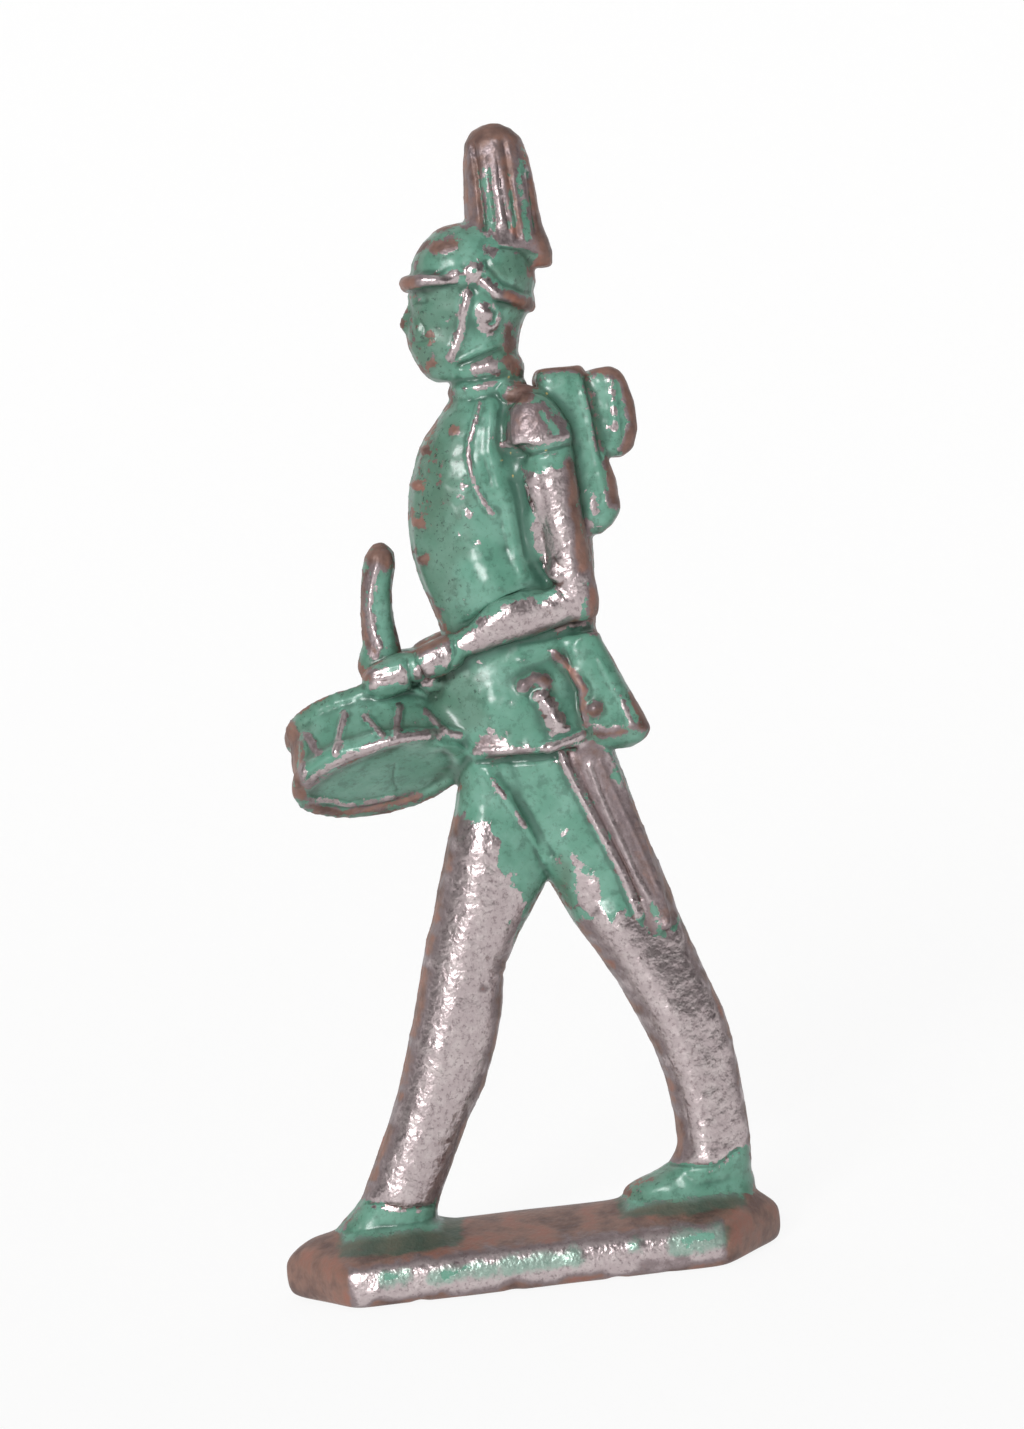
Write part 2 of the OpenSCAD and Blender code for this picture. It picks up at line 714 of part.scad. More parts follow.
// Head with a small nose and an ear on each side
module head() {
    ear_flat_share = 0.5;
    color(paint) difference() {
        union() {
            head_form();
            head_place() bar(placed(nose_shares, head_size), nose_d);
            on_both_sides() head_place()
                translate(placed([ear_share], head_size)[0])
                    scale([1, ear_flat_share, 1]) ball(ear_d);
        }
        collar_form();
        whole_helmet_form();
    }
}

// Strap from the band down both cheeks to the jaw
module chin_strap() {
    color(bare_metal) difference() {
        on_both_sides() head_place() bar(placed(chin_strap_shares, head_size), chin_strap_d);
        head_form();
        whole_helmet_form();
    }
}

module helmet_band() {
    color(paint) band_form();
}

module helmet() {
    color(paint) dome_form();
}

module visor() {
    color(bare_metal) difference() {
        helmet_place() loft(refined(visor_shares), [helmet_l, visor_d, band_h]);
        band_form();
        head_form();
    }
}

module helmet_bosses() {
    color(bare_metal) difference() {
        on_both_sides() helmet_place()
            translate([-0.03 * helmet_l, -0.48 * helmet_d, band_h + 0.33 * helmet_h]) ball(boss_d);
        band_form();
        dome_form();
    }
}

// Plume with grooves between its strands
module plume() {
    color(brown) difference() {
        translate([plume_x, 0, plume_z]) loft(plume_shares, plume_size);
        on_both_sides() translate([plume_x, 0, plume_z]) {
            for (groove = groove_x_shares) {
                bar(placed([for (i = [0 : 2]) [groove[i], -0.5, groove_z_shares[i]]], plume_size), groove_d);
            }
        }
        dome_form();
        band_form();
    }
}

module epaulette(side) {
    color(bare_metal) difference() {
        on_side(side) epaulette_form();
        tunic_form();
    }
}

// Short tab between the collar and the epaulette
module shoulder_tab(side) {
    color(brown) difference() {
        on_side(side) tab_form();
        tunic_form();
        collar_form();
        on_side(side) epaulette_form();
    }
}

module upper_sleeve(side) {
    color(bare_metal) difference() {
        on_side(side) upper_sleeve_form();
        tunic_form();
        belt_form();
    }
}

module lower_sleeve(side) {
    color(bare_metal) difference() {
        on_side(side) lower_sleeve_form();
        on_side(side) upper_sleeve_form();
        tunic_form();
        belt_form();
        skirt_form();
    }
}

module cuff(side) {
    color(bare_metal) difference() {
        on_side(side) cuff_form();
        tunic_form();
        belt_form();
        skirt_form();
        drum_form();
    }
}

module hand(side) {
    color(bare_metal) difference() {
        on_side(side) hand_form();
        drum_form();
    }
}

module drumstick() {
    color(bare_metal) difference() {
        translate([stick_x, 0, stick_z]) loft(stick_shares, [stick_w, stick_d, stick_h]);
        on_both_sides() hand_form();
        drum_form();
    }
}

module drum_shell() {
    color(paint) drum_place() drum_slice(hoop_h, drum_h - hoop_h, 0);
}

module hoop(from_z) {
    color(bare_metal) drum_place() difference() {
        drum_slice(from_z, from_z + hoop_h, hoop_lip);
        drum_slice(from_z - cut, from_z + hoop_h + cut, hoop_lip - hoop_w);
    }
}

module upper_skin() {
    color(paint) drum_place() drum_slice(drum_h - hoop_h, drum_h - skin_drop, hoop_lip - hoop_w);
}

module lower_skin() {
    color(paint) drum_place() drum_slice(skin_drop, hoop_h, hoop_lip - hoop_w);
}

// Point on the drum shell at one height and turn
function shell_point(z, turn) =
    let (row = drum_row(z, 0))
    [
        drum_l * ((row[1] + row[2]) / 2 + (row[2] - row[1]) / 2 * cos(turn)),
        drum_d * row[3] / 2 * sin(turn),
        z
    ];

// Cord that runs up and down between the hoops all around the shell
module drum_cords() {
    half_loops = 2 * cord_loops;
    cord_ends = [
        for (i = [0 : half_loops])
            shell_point(i % 2 == 0 ? hoop_h : drum_h - hoop_h, 360 * i / half_loops)
    ];
    color(brown) drum_place() difference() {
        bar(cord_ends, cord_d);
        drum_slice(-cut, drum_h + cut, 0);
        drum_slice(-cut, hoop_h, hoop_lip);
        drum_slice(drum_h - hoop_h, drum_h + cut, hoop_lip);
    }
}

module knapsack() {
    color(paint) difference() {
        pack_form();
        tunic_form();
        on_both_sides() upper_sleeve_form();
        on_both_sides() epaulette_form();
    }
}

module mess_tin() {
    color(paint) difference() {
        translate([tin_x, 0, tin_z]) loft(tin_shares, [tin_l, tin_d, tin_h], box_power);
        pack_form();
    }
}

// Strap from the shoulder down the chest and back under the arm
module strap(side) {
    color(paint) difference() {
        on_side(side) tunic_place() bar(placed(strap_shares, tunic_size), strap_w);
        tunic_form();
        collar_form();
        on_side(side) upper_sleeve_form();
        on_side(side) epaulette_form();
        on_side(side) tab_form();
    }
}

module scabbard() {
    color(brown) difference() {
        scabbard_form();
        rear_leg_form();
        front_leg_form();
        skirt_form();
        tail_form();
    }
}

// Pommel, grip and guard above the mouth of the scabbard
module sabre_hilt() {
    guard = [guard_x, hilt_y, guard_z];
    pommel = guard + hilt_l * [-cos(hilt_slope), 0, sin(hilt_slope)];
    color(bare_metal) difference() {
        union() {
            bar([guard, pommel], grip_d);
            translate(pommel) ball(pommel_d);
            translate(guard) ball(pommel_d);
        }
        skirt_form();
        tail_form();
        scabbard_form();
    }
}

base_plate();
front_shoe();
rear_shoe();
front_leg();
rear_leg();
coat_skirt();
sword_belt();
tunic();
tunic_buttons();
coat_tails();
tail_buttons();
collar();
head();
chin_strap();
helmet_band();
helmet();
visor();
helmet_bosses();
plume();
epaulette(near);  // near_epaulette
epaulette(far);  // far_epaulette
shoulder_tab(near);  // near_shoulder_tab
shoulder_tab(far);  // far_shoulder_tab
upper_sleeve(near);  // near_upper_sleeve
upper_sleeve(far);  // far_upper_sleeve
lower_sleeve(near);  // near_lower_sleeve
lower_sleeve(far);  // far_lower_sleeve
cuff(near);  // near_cuff
cuff(far);  // far_cuff
hand(near);  // near_hand
hand(far);  // far_hand
drumstick();
drum_shell();
hoop(drum_h - hoop_h);  // upper_hoop
hoop(0);  // lower_hoop
upper_skin();
lower_skin();
drum_cords();
knapsack();
mess_tin();
strap(near);  // near_strap
strap(far);  // far_strap
scabbard();
sabre_hilt();
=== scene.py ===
"""A worn cast-metal toy drummer: its solids are fused into one casting, sculpted, painted and parted."""

import json
import math

import bmesh
import bpy
import numpy as np
from mathutils import Matrix, Vector
from mathutils.bvhtree import BVHTree

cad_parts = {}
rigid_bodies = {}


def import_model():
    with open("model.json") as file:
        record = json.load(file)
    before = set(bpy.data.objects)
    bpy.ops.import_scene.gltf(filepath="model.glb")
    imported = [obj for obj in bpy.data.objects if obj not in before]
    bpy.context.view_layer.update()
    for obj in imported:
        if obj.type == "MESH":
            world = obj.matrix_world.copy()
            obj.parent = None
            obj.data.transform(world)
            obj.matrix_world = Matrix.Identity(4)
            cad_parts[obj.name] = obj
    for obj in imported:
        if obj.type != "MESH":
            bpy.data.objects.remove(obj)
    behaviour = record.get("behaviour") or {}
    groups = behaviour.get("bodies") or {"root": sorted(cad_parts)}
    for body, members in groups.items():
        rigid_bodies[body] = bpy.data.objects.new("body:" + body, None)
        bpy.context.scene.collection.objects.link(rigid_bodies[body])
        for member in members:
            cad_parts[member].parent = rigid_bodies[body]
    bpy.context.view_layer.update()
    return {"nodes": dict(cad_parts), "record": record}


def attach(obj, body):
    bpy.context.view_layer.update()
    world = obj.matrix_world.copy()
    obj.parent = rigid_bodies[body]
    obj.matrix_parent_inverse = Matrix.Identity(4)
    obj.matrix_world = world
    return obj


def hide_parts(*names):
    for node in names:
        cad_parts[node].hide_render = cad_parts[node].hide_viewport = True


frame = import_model()

# All sizes and places of the sculpting are in millimetres; the finished pieces are in metres
MM = 0.001
# Edge length of the casting's mesh
GRAIN = 0.13
# How far the solids are grown so that neighbours run together
OVERLAP = 0.06
# Corners of a solid closer than this are one corner
WELD = 0.001
# How far each round of smoothing pulls the points in; then the rounds, and how far each pushes them out
# again, that soften the whole casting, round its broad forms and finish the sculpting. The more nearly
# equal the pull and the push, the less it shrinks
PULL = 0.6
SOFTENING = (14, 0.62)
ROUNDING = (70, 0.604)
FINISHING = (2, 0.62)
BROAD_FORMS = {
    "front_leg", "rear_leg", "front_shoe", "rear_shoe", "tunic", "coat_skirt", "sword_belt", "coat_tails",
    "head", "helmet", "helmet_band", "knapsack", "mess_tin", "near_strap", "far_strap",
    "near_upper_sleeve", "far_upper_sleeve", "near_lower_sleeve", "far_lower_sleeve", "base_plate",
    "drum_shell", "upper_hoop", "lower_hoop", "upper_skin", "lower_skin", "drum_cords",
}
# Rounds of averaging that fade the rounding out around the broad forms
ROUNDING_FADE = 4
# Height and size of the unevenness that the mould leaves all over, broad and fine
LUMPS = ((0.1, 1.6), (0.07, 0.5))
# Height and half width of the seam where the halves of the mould met
SEAM_H = 0.06
SEAM_W = 0.28
# Rounds of plain smoothing that round off the base, that melt solids together where the casting has no
# step, and that ease the relief, and the widths over which melting and easing fade in
BASE_ROUNDS = 90
MELT_ROUNDS = 400
MELT_EDGE = 0.45
EASED_ROUNDS = 45
EASED_EDGE = 0.35
# Melting leaves out the surfaces that face along X: how steeply it sets in as they turn away, and from where
MELT_FACING_GAIN = 3
MELT_FACING_START = 0.8
# Softness of the edge between paint and bare metal, before the material makes it ragged
PAINT_EDGE = 0.7
# How far the worn places wander from their drawn outlines, and how many waves each millimetre has
WANDER = ((0.2, 1.9), (0.1, 4.7))
# How the waves run across the figure, and how far and how quickly they bend one another
WAVE_TURN_Y, WAVE_TURN_Z = 0.5, 0.6
WAVE_OTHER_Y, WAVE_OTHER_X = -0.4, -0.7
WAVE_BENDS = ((1.7, 0.7, 1), (1.3, 0.8, 2))
# Worn lines wander this share of what worn areas do
STROKE_WANDER = 0.3
# Rounds of averaging that take the relief out of the surface's direction, to find the rims of the figure,
# how far a rim has turned away where its painted brown reflection and shade start and from there to full,
# and how much paint it loses
RIM_BLUR = 55
RIM_START = 0.1
RIM_SPAN = 0.55
RIM_WEAR = 0.6
# A rim's strength is uneven: its middle, how much the wander changes it, and the least it comes to
RIM_MIDDLE = 0.8
RIM_UNEVEN = 1.2
RIM_LEAST = 0.4
# Share of the rim's painted brown reflection and shade that worn places don't take away
RIM_SHADE_KEPT = 0.9
# The least length of an averaged direction
LEAST_FACING = 0.1
# Fields that tell hollows from ridges, fine and broad, which keep paint in hollows and darken hollows and
# valleys with painted shade: rounds of averaging and the depth that counts as full
HOLLOWS = (("hollow", 3, 0.06), ("valley", 40, 0.5))
# Thickness of the skin that each piece of the casting is
SKIN = 0.12
# A face of the casting belongs to the solid that is nearest to a point this far outside it
PROBE = 0.25
# Rounds of voting that smooth the borders between pieces, and the most rounds that mend their crossings
BORDER_VOTES = 6
BORDER_MENDS = 40
# A squared length that is as good as zero
TINY = 1e-9

# The camera stands where the photograph was taken from
AIM = Vector((1.95, 0, 32.5))
EYE_DISTANCE = 190
EYE_TURN = math.radians(-3)
EYE_RISE = math.radians(4)
EYE_ROLL = math.radians(6)
FRAME_H = 1429
PIXELS_PER_MM = 17.3
SENSOR_H = 36
CLIP_START = 10
# Marks on the surface are drawn in this upright plane, near the front of the figure
MARK_PLANE_Y = -2
# Below this height the surface is the base's, whose marks are drawn on its own face
BASE_TOP = 3.2
# Level surfaces belong to the base up to this much higher
BASE_RISE = 0.5
# A surface is level if it faces up by more than this, and near if it faces away by less than this
LEVEL_FACING = 0.5
NEAR_FACING = 0.3

NEAR = "near"
BOTH = "both"
FACE = "face of the base"
TOP = "top of the base"

# Webs that the metal filled between forms, as middle and half sizes: drum to coat and beside the sleeve
WEBS = (((-2.2, 0, 34.9), (1.5, 1.6, 0.9)), ((4.2, 0, 42.6), (0.8, 2.9, 2.8)))
WEB_SEGMENTS = 24
WEB_RINGS = 12
# Trim that is sculpted on the casting and not fused into it
SCULPTED = {
    "tunic_buttons", "tail_buttons", "helmet_bosses", "chin_strap", "drum_cords",
    "near_strap", "far_strap", "sabre_hilt",
}


def line(width, height, *points, side=BOTH):
    """A raised line, or a groove where the height is negative, along points in the mark plane."""
    return {"width": width, "height": height, "points": points, "side": side, "closed": False}


def stroke(width, *points, side=BOTH):
    """An area of the surface within a width of a line in the mark plane."""
    return {"width": width, "points": points, "side": side, "closed": False}


def patch(*points, side=BOTH):
    """An area of the surface inside an outline in the mark plane."""
    return {"width": 0, "points": points, "side": side, "closed": True}


# Lines that both the sculpting and the paint follow
VISOR = ((-1.5, 57.6), (-0.5, 57.7), (0.5, 57.6), (1.4, 57.85))
HELMET_RIM = ((2.85, 57.2), (3.4, 56.5), (4.1, 56.3), (5.35, 55.5))
CHIN_STRAP = ((1.85, 56.7), (1.5, 55.7), (1.25, 54.7), (0.8, 53.7), (0.5, 53.2))
BOSS = (2.3, 57.9)
EAR = ((2.7, 55.5), (2.8, 54.9))
EAR_FOLD = ((2.95, 55.8), (3.25, 55.4), (3.1, 54.95), (2.8, 54.9))
BUTTONS = ((-1.45, 48.1), (-2.2, 46.2), (-2.35, 44.05), (-2.3, 42.0))
LACE = ((1.9, 50.4), (1.4, 49.2), (1.0, 48.3), (0.9, 47.5), (1.0, 46.5), (1.2, 45.6), (1.5, 44.8),
        (2.0, 44.1))
STRAP_EDGE = ((2.6, 50.4), (2.5, 49.6), (2.2, 47.7), (2.5, 45.9), (2.8, 44.3), (2.9, 43.2),
              (3.05, 41.6), (3.3, 40.5))
BELT = ((0, 34.75), (1.3, 35.3), (2.2, 35.55), (3.5, 35.8), (4.7, 36.1))
TAIL_FOLD = ((4.7, 35.8), (5.3, 35.0), (5.8, 34.2), (6.1, 33.65), (5.95, 32.6), (6.0, 31.6))
TAIL_BUTTON = (6.6, 32.45)
POMMEL = ((2.7, 34.25), (3.3, 34.5), (3.85, 34.3))
GRIP = ((3.6, 33.5), (4.0, 32.8), (4.3, 31.9))
GUARD = ((4.05, 31.3), (4.95, 31.5))
SCABBARD_MOUTH = ((3.7, 30.55), (4.9, 30.8), (5.8, 31.1))
SCABBARD_EDGE = ((4.4, 30.1), (4.8, 28.85), (5.4, 27.3), (6.0, 25.8), (6.6, 24.3), (7.1, 23.1),
                 (7.5, 21.7), (7.9, 20.4))
SCABBARD_LINE = ((5.95, 29.2), (6.3, 27.7), (6.7, 26.4), (7.3, 24.7), (7.9, 22.75), (8.6, 21.15))
THIGH_EDGE = ((0.1, 29.4), (1.15, 27.6), (2.05, 25.9), (2.85, 24.1))
LOWER_HOOP = ((-10.1, 29.9), (-8.7, 30.8), (-7.2, 31.3), (-5.65, 31.8), (-4.6, 32.0), (-2.1, 32.05),
              (-1.3, 31.8))
CORDS = (
    ((-9.9, 32.7), (-9.4, 31.7)),
    ((-7.65, 33.7), (-8.1, 32.4), (-8.4, 31.6)),
    ((-6.5, 33.4), (-5.7, 32.3)),
    ((-4.5, 33.75), (-4.85, 32.3)),
    ((-3.05, 33.3), (-2.2, 32.2)),
)
DRUM_CHIPS = ((-10.2, 29.05), (-9.2, 28.9), (-8.0, 28.4), (-6.6, 28.4), (-5.4, 28.55))
DRUM_TOP = ((-5.8, 34.4), (-5.0, 34.5), (-3.8, 34.85), (-2.9, 34.2))
STICK_EDGE = ((-4.95, 41.8), (-5.35, 40.85), (-5.6, 39.6), (-5.55, 38.4), (-5.2, 37.2))

# Outline of the drum's lower skin, and small dots on the coat
DRUM_SKIN = ((-9.9, 29.5), (-8.6, 30.3), (-7.2, 30.9), (-5.6, 31.4), (-4.4, 31.6), (-2.4, 31.7),
             (-2.2, 30.3), (-3.4, 29.2), (-5.4, 28.8), (-8.2, 28.7), (-9.6, 29.0))
CHEST_SPECKS = ((0.1, 45.2), (0.6, 44.2), (-0.1, 43.3), (0.9, 42.7), (0.5, 45.9))
OCHRE_DOTS = ((5.7, 50.65), (2.75, 47.1), (3.35, 47.4), (5.4, 47.4), (3.25, 46.1), (3.65, 51.8))

# Places where the casting runs on smoothly although the solids have a step: helmet to cheek, foot of the
# plume, coat beside the arm, below the epaulette, belt, drum to coat, lower skin of the drum, face of the
# scabbard and soles of the shoes
MELTED = (
    patch((-1.0, 57.1), (1.4, 57.3), (1.6, 58.6), (2.9, 58.6), (3.1, 57.2), (3.6, 56.3), (3.4, 55.0),
          (2.2, 54.0), (0.2, 53.9), (-0.8, 54.6), (-1.1, 56.0)),
    patch((2.0, 61.2), (5.2, 59.8), (5.4, 58.6), (3.4, 58.6), (2.0, 60.0)),
    patch((2.9, 50.2), (3.5, 49.9), (3.4, 48.2), (4.3, 46.2), (4.7, 42.8), (5.1, 40.4), (3.6, 39.9),
          (2.8, 42.5), (2.4, 46), (2.6, 48.5)),
    patch((2.6, 48.4), (3.3, 48.2), (4.0, 47.3), (4.2, 46.4), (3.2, 46.0), (2.5, 46.8)),
    patch((-0.5, 34.2), (1.5, 34.4), (4.6, 35.3), (6.4, 36.9), (2.6, 36.7), (0.0, 36.0)),
    patch((-3.0, 31.4), (-1.6, 31.2), (0.6, 31.8), (0.6, 34.0), (-1.2, 34.7), (-2.9, 33.8)),
    patch(*DRUM_SKIN, side=NEAR),
    patch((4.6, 30.0), (6.8, 30.6), (9.0, 25), (10.2, 20.5), (8.8, 18.8), (7.6, 21.6),
          (6.0, 25.6), side=NEAR),
    patch((-11.6, 2.4), (-4.4, 2.6), (-4.4, 4.2), (-6.5, 4.0), (-11.2, 3.9)),
    patch((5.2, 2.6), (13.0, 2.8), (13.0, 4.6), (9, 4.2), (5.2, 4.1)),
)
# Places that are smoothed once more after the relief: belt, coat beside the sleeve and below the epaulette
EASED = (
    patch((-0.3, 34.3), (1.4, 34.4), (2.6, 34.9), (2.6, 36.4), (1.0, 36.7), (-0.3, 36.0)),
    patch((3.5, 41.0), (4.8, 41.2), (4.9, 44.0), (3.6, 44.2)),
    patch((2.7, 46.1), (4.4, 45.7), (4.6, 46.9), (2.9, 47.5)),
)

RELIEF = [
    # Helmet: visor, rim down to the nape, bowl of the plume and boss
    line(0.52, 0.2, *VISOR),
    line(0.3, -0.1, (-1.4, 57.05), (0.4, 57.05), (1.4, 57.3)),
    line(0.44, 0.2, *HELMET_RIM),
    line(0.3, -0.13, (3.05, 58.4), (3.2, 58), (3.9, 57.1), (4.6, 56.75), (5.2, 56.4)),
    line(0.72, 0.32, BOSS),
    line(0.28, -0.1, BOSS),
    line(0.5, -0.15, (-0.4, 57.15), (1.2, 57.1), (2.2, 56.95)),
    line(1.0, 0.2, (-0.5, 55.9), (1.2, 55.8), (2.6, 55.7)),
    # Face: brow, eye, nose, mouth, chin, jaw, ear and chin strap
    line(0.3, 0.09, (-1.4, 56.95), (-0.4, 57.05)),
    line(0.45, -0.12, (-0.95, 56.5), (-0.6, 56.5)),
    line(0.2, 0.08, (-0.95, 56.6), (-0.7, 56.6)),
    line(0.2, 0.1, (-1.45, 55.55), (-1.2, 55.2), (-1.2, 54.8)),
    line(0.18, -0.08, (-0.95, 55.5), (-0.8, 55.1), (-0.85, 54.7)),
    line(0.18, -0.1, (-1.3, 54.25), (-0.5, 54.4)),
    line(0.2, 0.06, (-1.15, 53.9), (-0.6, 54.0)),
    line(0.4, 0.07, (-0.6, 53.0)),
    line(0.25, 0.12, (0.9, 52.95), (2.1, 53.4), (3.0, 53.6)),
    line(0.25, -0.12, (0.9, 52.7), (2.1, 53.05), (3.4, 53.4)),
    line(0.85, 0.3, *EAR),
    line(0.22, -0.16, *EAR_FOLD),
    line(0.38, 0.18, *CHIN_STRAP),
    # Collar: band and lower ring
    line(0.45, 0.12, (0.7, 52.3), (2.2, 52.45), (3.8, 52.7)),
    line(0.2, -0.1, (0.8, 51.85), (2.1, 51.85), (3.6, 52.05)),
    line(0.25, 0.15, (0.7, 51.35), (2.1, 51.4), (3.5, 51.6)),
    # Plume: grooves between the strands, the middle strand and the lower edge
    line(0.25, -0.22, (2.95, 65), (3.05, 64), (3.2, 60.25)),
    line(0.16, -0.08, (3.85, 64.2), (3.85, 60.4)),
    line(0.25, -0.2, (4.75, 65), (4.85, 64), (5.0, 59.6)),
    line(0.18, -0.14, (5.95, 63.2), (6.05, 59.8)),
    line(0.34, 0.1, (4.25, 64.6), (4.25, 60.3)),
    line(0.2, -0.12, (4.0, 59.1), (4.95, 58.9), (5.9, 58.45)),
    # Tunic: buttons, shoulder strap with its lace and edge, and the hollow beside the arm
    *[line(0.42, 0.22, button) for button in BUTTONS],
    line(0.9, 0.14, (2.1, 50.2), (1.6, 48.4), (1.6, 46.6), (2.1, 45)),
    line(0.24, 0.13, *LACE),
    line(0.55, 0.22, *STRAP_EDGE),
    line(0.6, -0.2, (3.1, 49.6), (2.95, 48.3), (3.3, 46.5), (3.55, 45), (3.7, 42.7), (4.05, 40.9),
         (4.5, 40.1)),
    line(2.4, 0.22, (0.3, 46.5), (0.2, 44.5), (0.8, 41.2)),
    line(3.0, 0.75, (1.6, 39.6)),
    # Epaulette and shoulder tab
    line(0.3, 0.14, (2.95, 47.95), (3.9, 47.8), (5.0, 47.9), (6.6, 48.2)),
    line(0.26, -0.2, (3.5, 47.25), (3.9, 47.2), (5.0, 47.3), (6.7, 47.6)),
    line(0.4, 0.12, (3.4, 50.7), (4.8, 50.6)),
    line(0.5, 0.42, (4.3, 46), (4.4, 44.4), (4.45, 42.9), (4.75, 41.2), (5.2, 40.2)),
    # Arm: folds at the elbow, the hollows above and below the forearm, cuff and fingers
    line(0.2, 0.1, (4.5, 38.75), (5.05, 38.1)),
    line(0.2, 0.09, (5.0, 39.3), (5.6, 38.7)),
    line(0.35, -0.18, (-0.2, 38.1), (1.4, 38.8), (3.85, 39.5), (4.8, 39.75)),
    line(0.3, -0.15, (0.35, 36.0), (1.15, 36.35), (2.6, 36.6), (4.1, 36.7), (6.0, 37.0)),
    line(0.25, -0.12, (-1.05, 37.2), (-1.0, 36.4), (-1.4, 35.6)),
    line(0.3, 0.14, (-3.1, 36.4), (-3.25, 35.6), (-3.0, 34.9)),
    line(0.3, -0.18, (-3.8, 36.4), (-3.75, 35.6), (-3.6, 34.9)),
    line(0.15, -0.07, (-5.8, 35.75), (-4.4, 35.9)),
    line(0.15, -0.07, (-5.8, 35.35), (-4.5, 35.45)),
    line(0.22, 0.1, *STICK_EDGE),
    # Knapsack: edge of the flap, the gap before the mess tin and the tin's ridge
    line(0.35, 0.14, (9.45, 51), (9.4, 47.6)),
    line(0.28, 0.1, (7.7, 51), (7.95, 49.3), (8.1, 47.4), (8.3, 45.6), (8.5, 44)),
    line(0.28, -0.17, (8.05, 51.2), (8.3, 49.3), (8.45, 47.4), (8.5, 46.7)),
    # Belt, fullness and hem of the coat
    line(1.9, 0.3, (0.8, 33.3), (2.0, 33.2)),
    line(0.5, 0.16, *BELT),
    line(0.4, 0.14, (-0.4, 30.75), (0.6, 30.65), (1.9, 30.6), (3.2, 30.45), (4.0, 30.6)),
    line(0.25, -0.16, (-0.4, 30.1), (0.6, 30.0), (2.0, 29.95), (3.2, 29.9), (4.2, 30.0)),
    # Sabre: pommel, grip, guard, mouth of the scabbard and its two edges
    line(0.62, 0.45, *POMMEL, side=NEAR),
    line(0.75, 0.5, *GRIP, side=NEAR),
    line(0.16, -0.1, (3.35, 33.2), (4.2, 33.5), side=NEAR),
    line(0.16, -0.1, (3.7, 32.3), (4.6, 32.6), side=NEAR),
    line(0.3, 0.2, *GUARD, side=NEAR),
    line(0.36, 0.24, *SCABBARD_MOUTH, side=NEAR),
    line(0.4, 0.26, *SCABBARD_EDGE, side=NEAR),
    line(0.22, 0.14, *SCABBARD_LINE, side=NEAR),
    line(0.2, -0.07, (5.3, 29.4), (5.75, 27.9), (6.35, 26.2), (6.95, 24.6), (7.5, 23.1),
         (8.1, 21.3), side=NEAR),
    line(0.16, 0.08, (6.6, 29.4), (7.3, 27.4), (8.3, 24.6), (9.2, 21.6), side=NEAR),
    # Coat tails: front fold, button and rim
    line(0.42, 0.28, *TAIL_FOLD),
    line(0.62, 0.4, TAIL_BUTTON),
    line(0.3, 0.1, (7.2, 35.2), (8.25, 32.6), (8.6, 31.3)),
    # Trousers: round fronts of the legs, edge of the front thigh, fold behind it, creases at knee and shin
    line(2.7, 0.45, (-0.8, 25), (-1.4, 21.5), (-3.6, 15.8), (-5.4, 11), (-7.2, 6)),
    line(1.8, 0.45, (6.4, 20.2), (8.0, 17.1), (9.2, 14.2), (10.0, 11), (10.4, 8), (10.4, 6)),
    line(0.28, 0.14, *THIGH_EDGE),
    line(0.45, -0.14, (0.8, 29.3), (1.8, 27.5), (2.65, 26), (3.3, 24.4)),
    line(0.35, -0.07, (-1.1, 18.9), (-0.1, 18.5)),
    line(0.3, -0.06, (-0.9, 18.1), (-0.1, 17.8)),
    line(0.35, -0.07, (9.3, 10), (9.5, 6.5)),
    # Hem of the trousers over the shoes
    line(0.22, -0.12, (8.3, 5.7), (9.6, 5.4), (10.6, 5.3), (11.4, 5.7), (12.3, 6.2)),
    line(0.22, -0.12, (-9.3, 5.5), (-8.3, 5.3), (-7.2, 4.95), (-5.8, 4.9)),
    # Drum: lower hoop, cords, rim of the lower skin and a crease across it
    line(0.45, 0.24, *LOWER_HOOP, side=NEAR),
    *[line(0.32, 0.18, *cord, side=NEAR) for cord in CORDS],
    line(0.3, 0.12, (-10.2, 32.35), (-10.4, 30.3), side=NEAR),
    line(0.3, 0.12, *DRUM_CHIPS, side=NEAR),
    line(0.15, -0.07, (-5.15, 30.5), (-5.35, 29.6), (-5.1, 29.0), side=NEAR),
    line(0.25, 0.12, *DRUM_TOP, side=NEAR),
    # Base: dents and lumps of its face
    line(0.9, -0.2, (-1.6, 0.6), side=FACE),
    line(0.7, -0.14, (-7, 0.3), side=FACE),
    line(0.8, 0.12, (-9.4, 1.0), side=FACE),
    line(0.8, -0.12, (4.3, 0.3), side=FACE),
    line(1.0, 0.12, (2, 1.3), side=FACE),
    line(0.8, -0.12, (7.3, 0.6), side=FACE),
    line(0.6, 0.1, (5.6, 1.9), side=FACE),
    line(0.9, -0.12, (-4.4, 2.4), side=FACE),
]
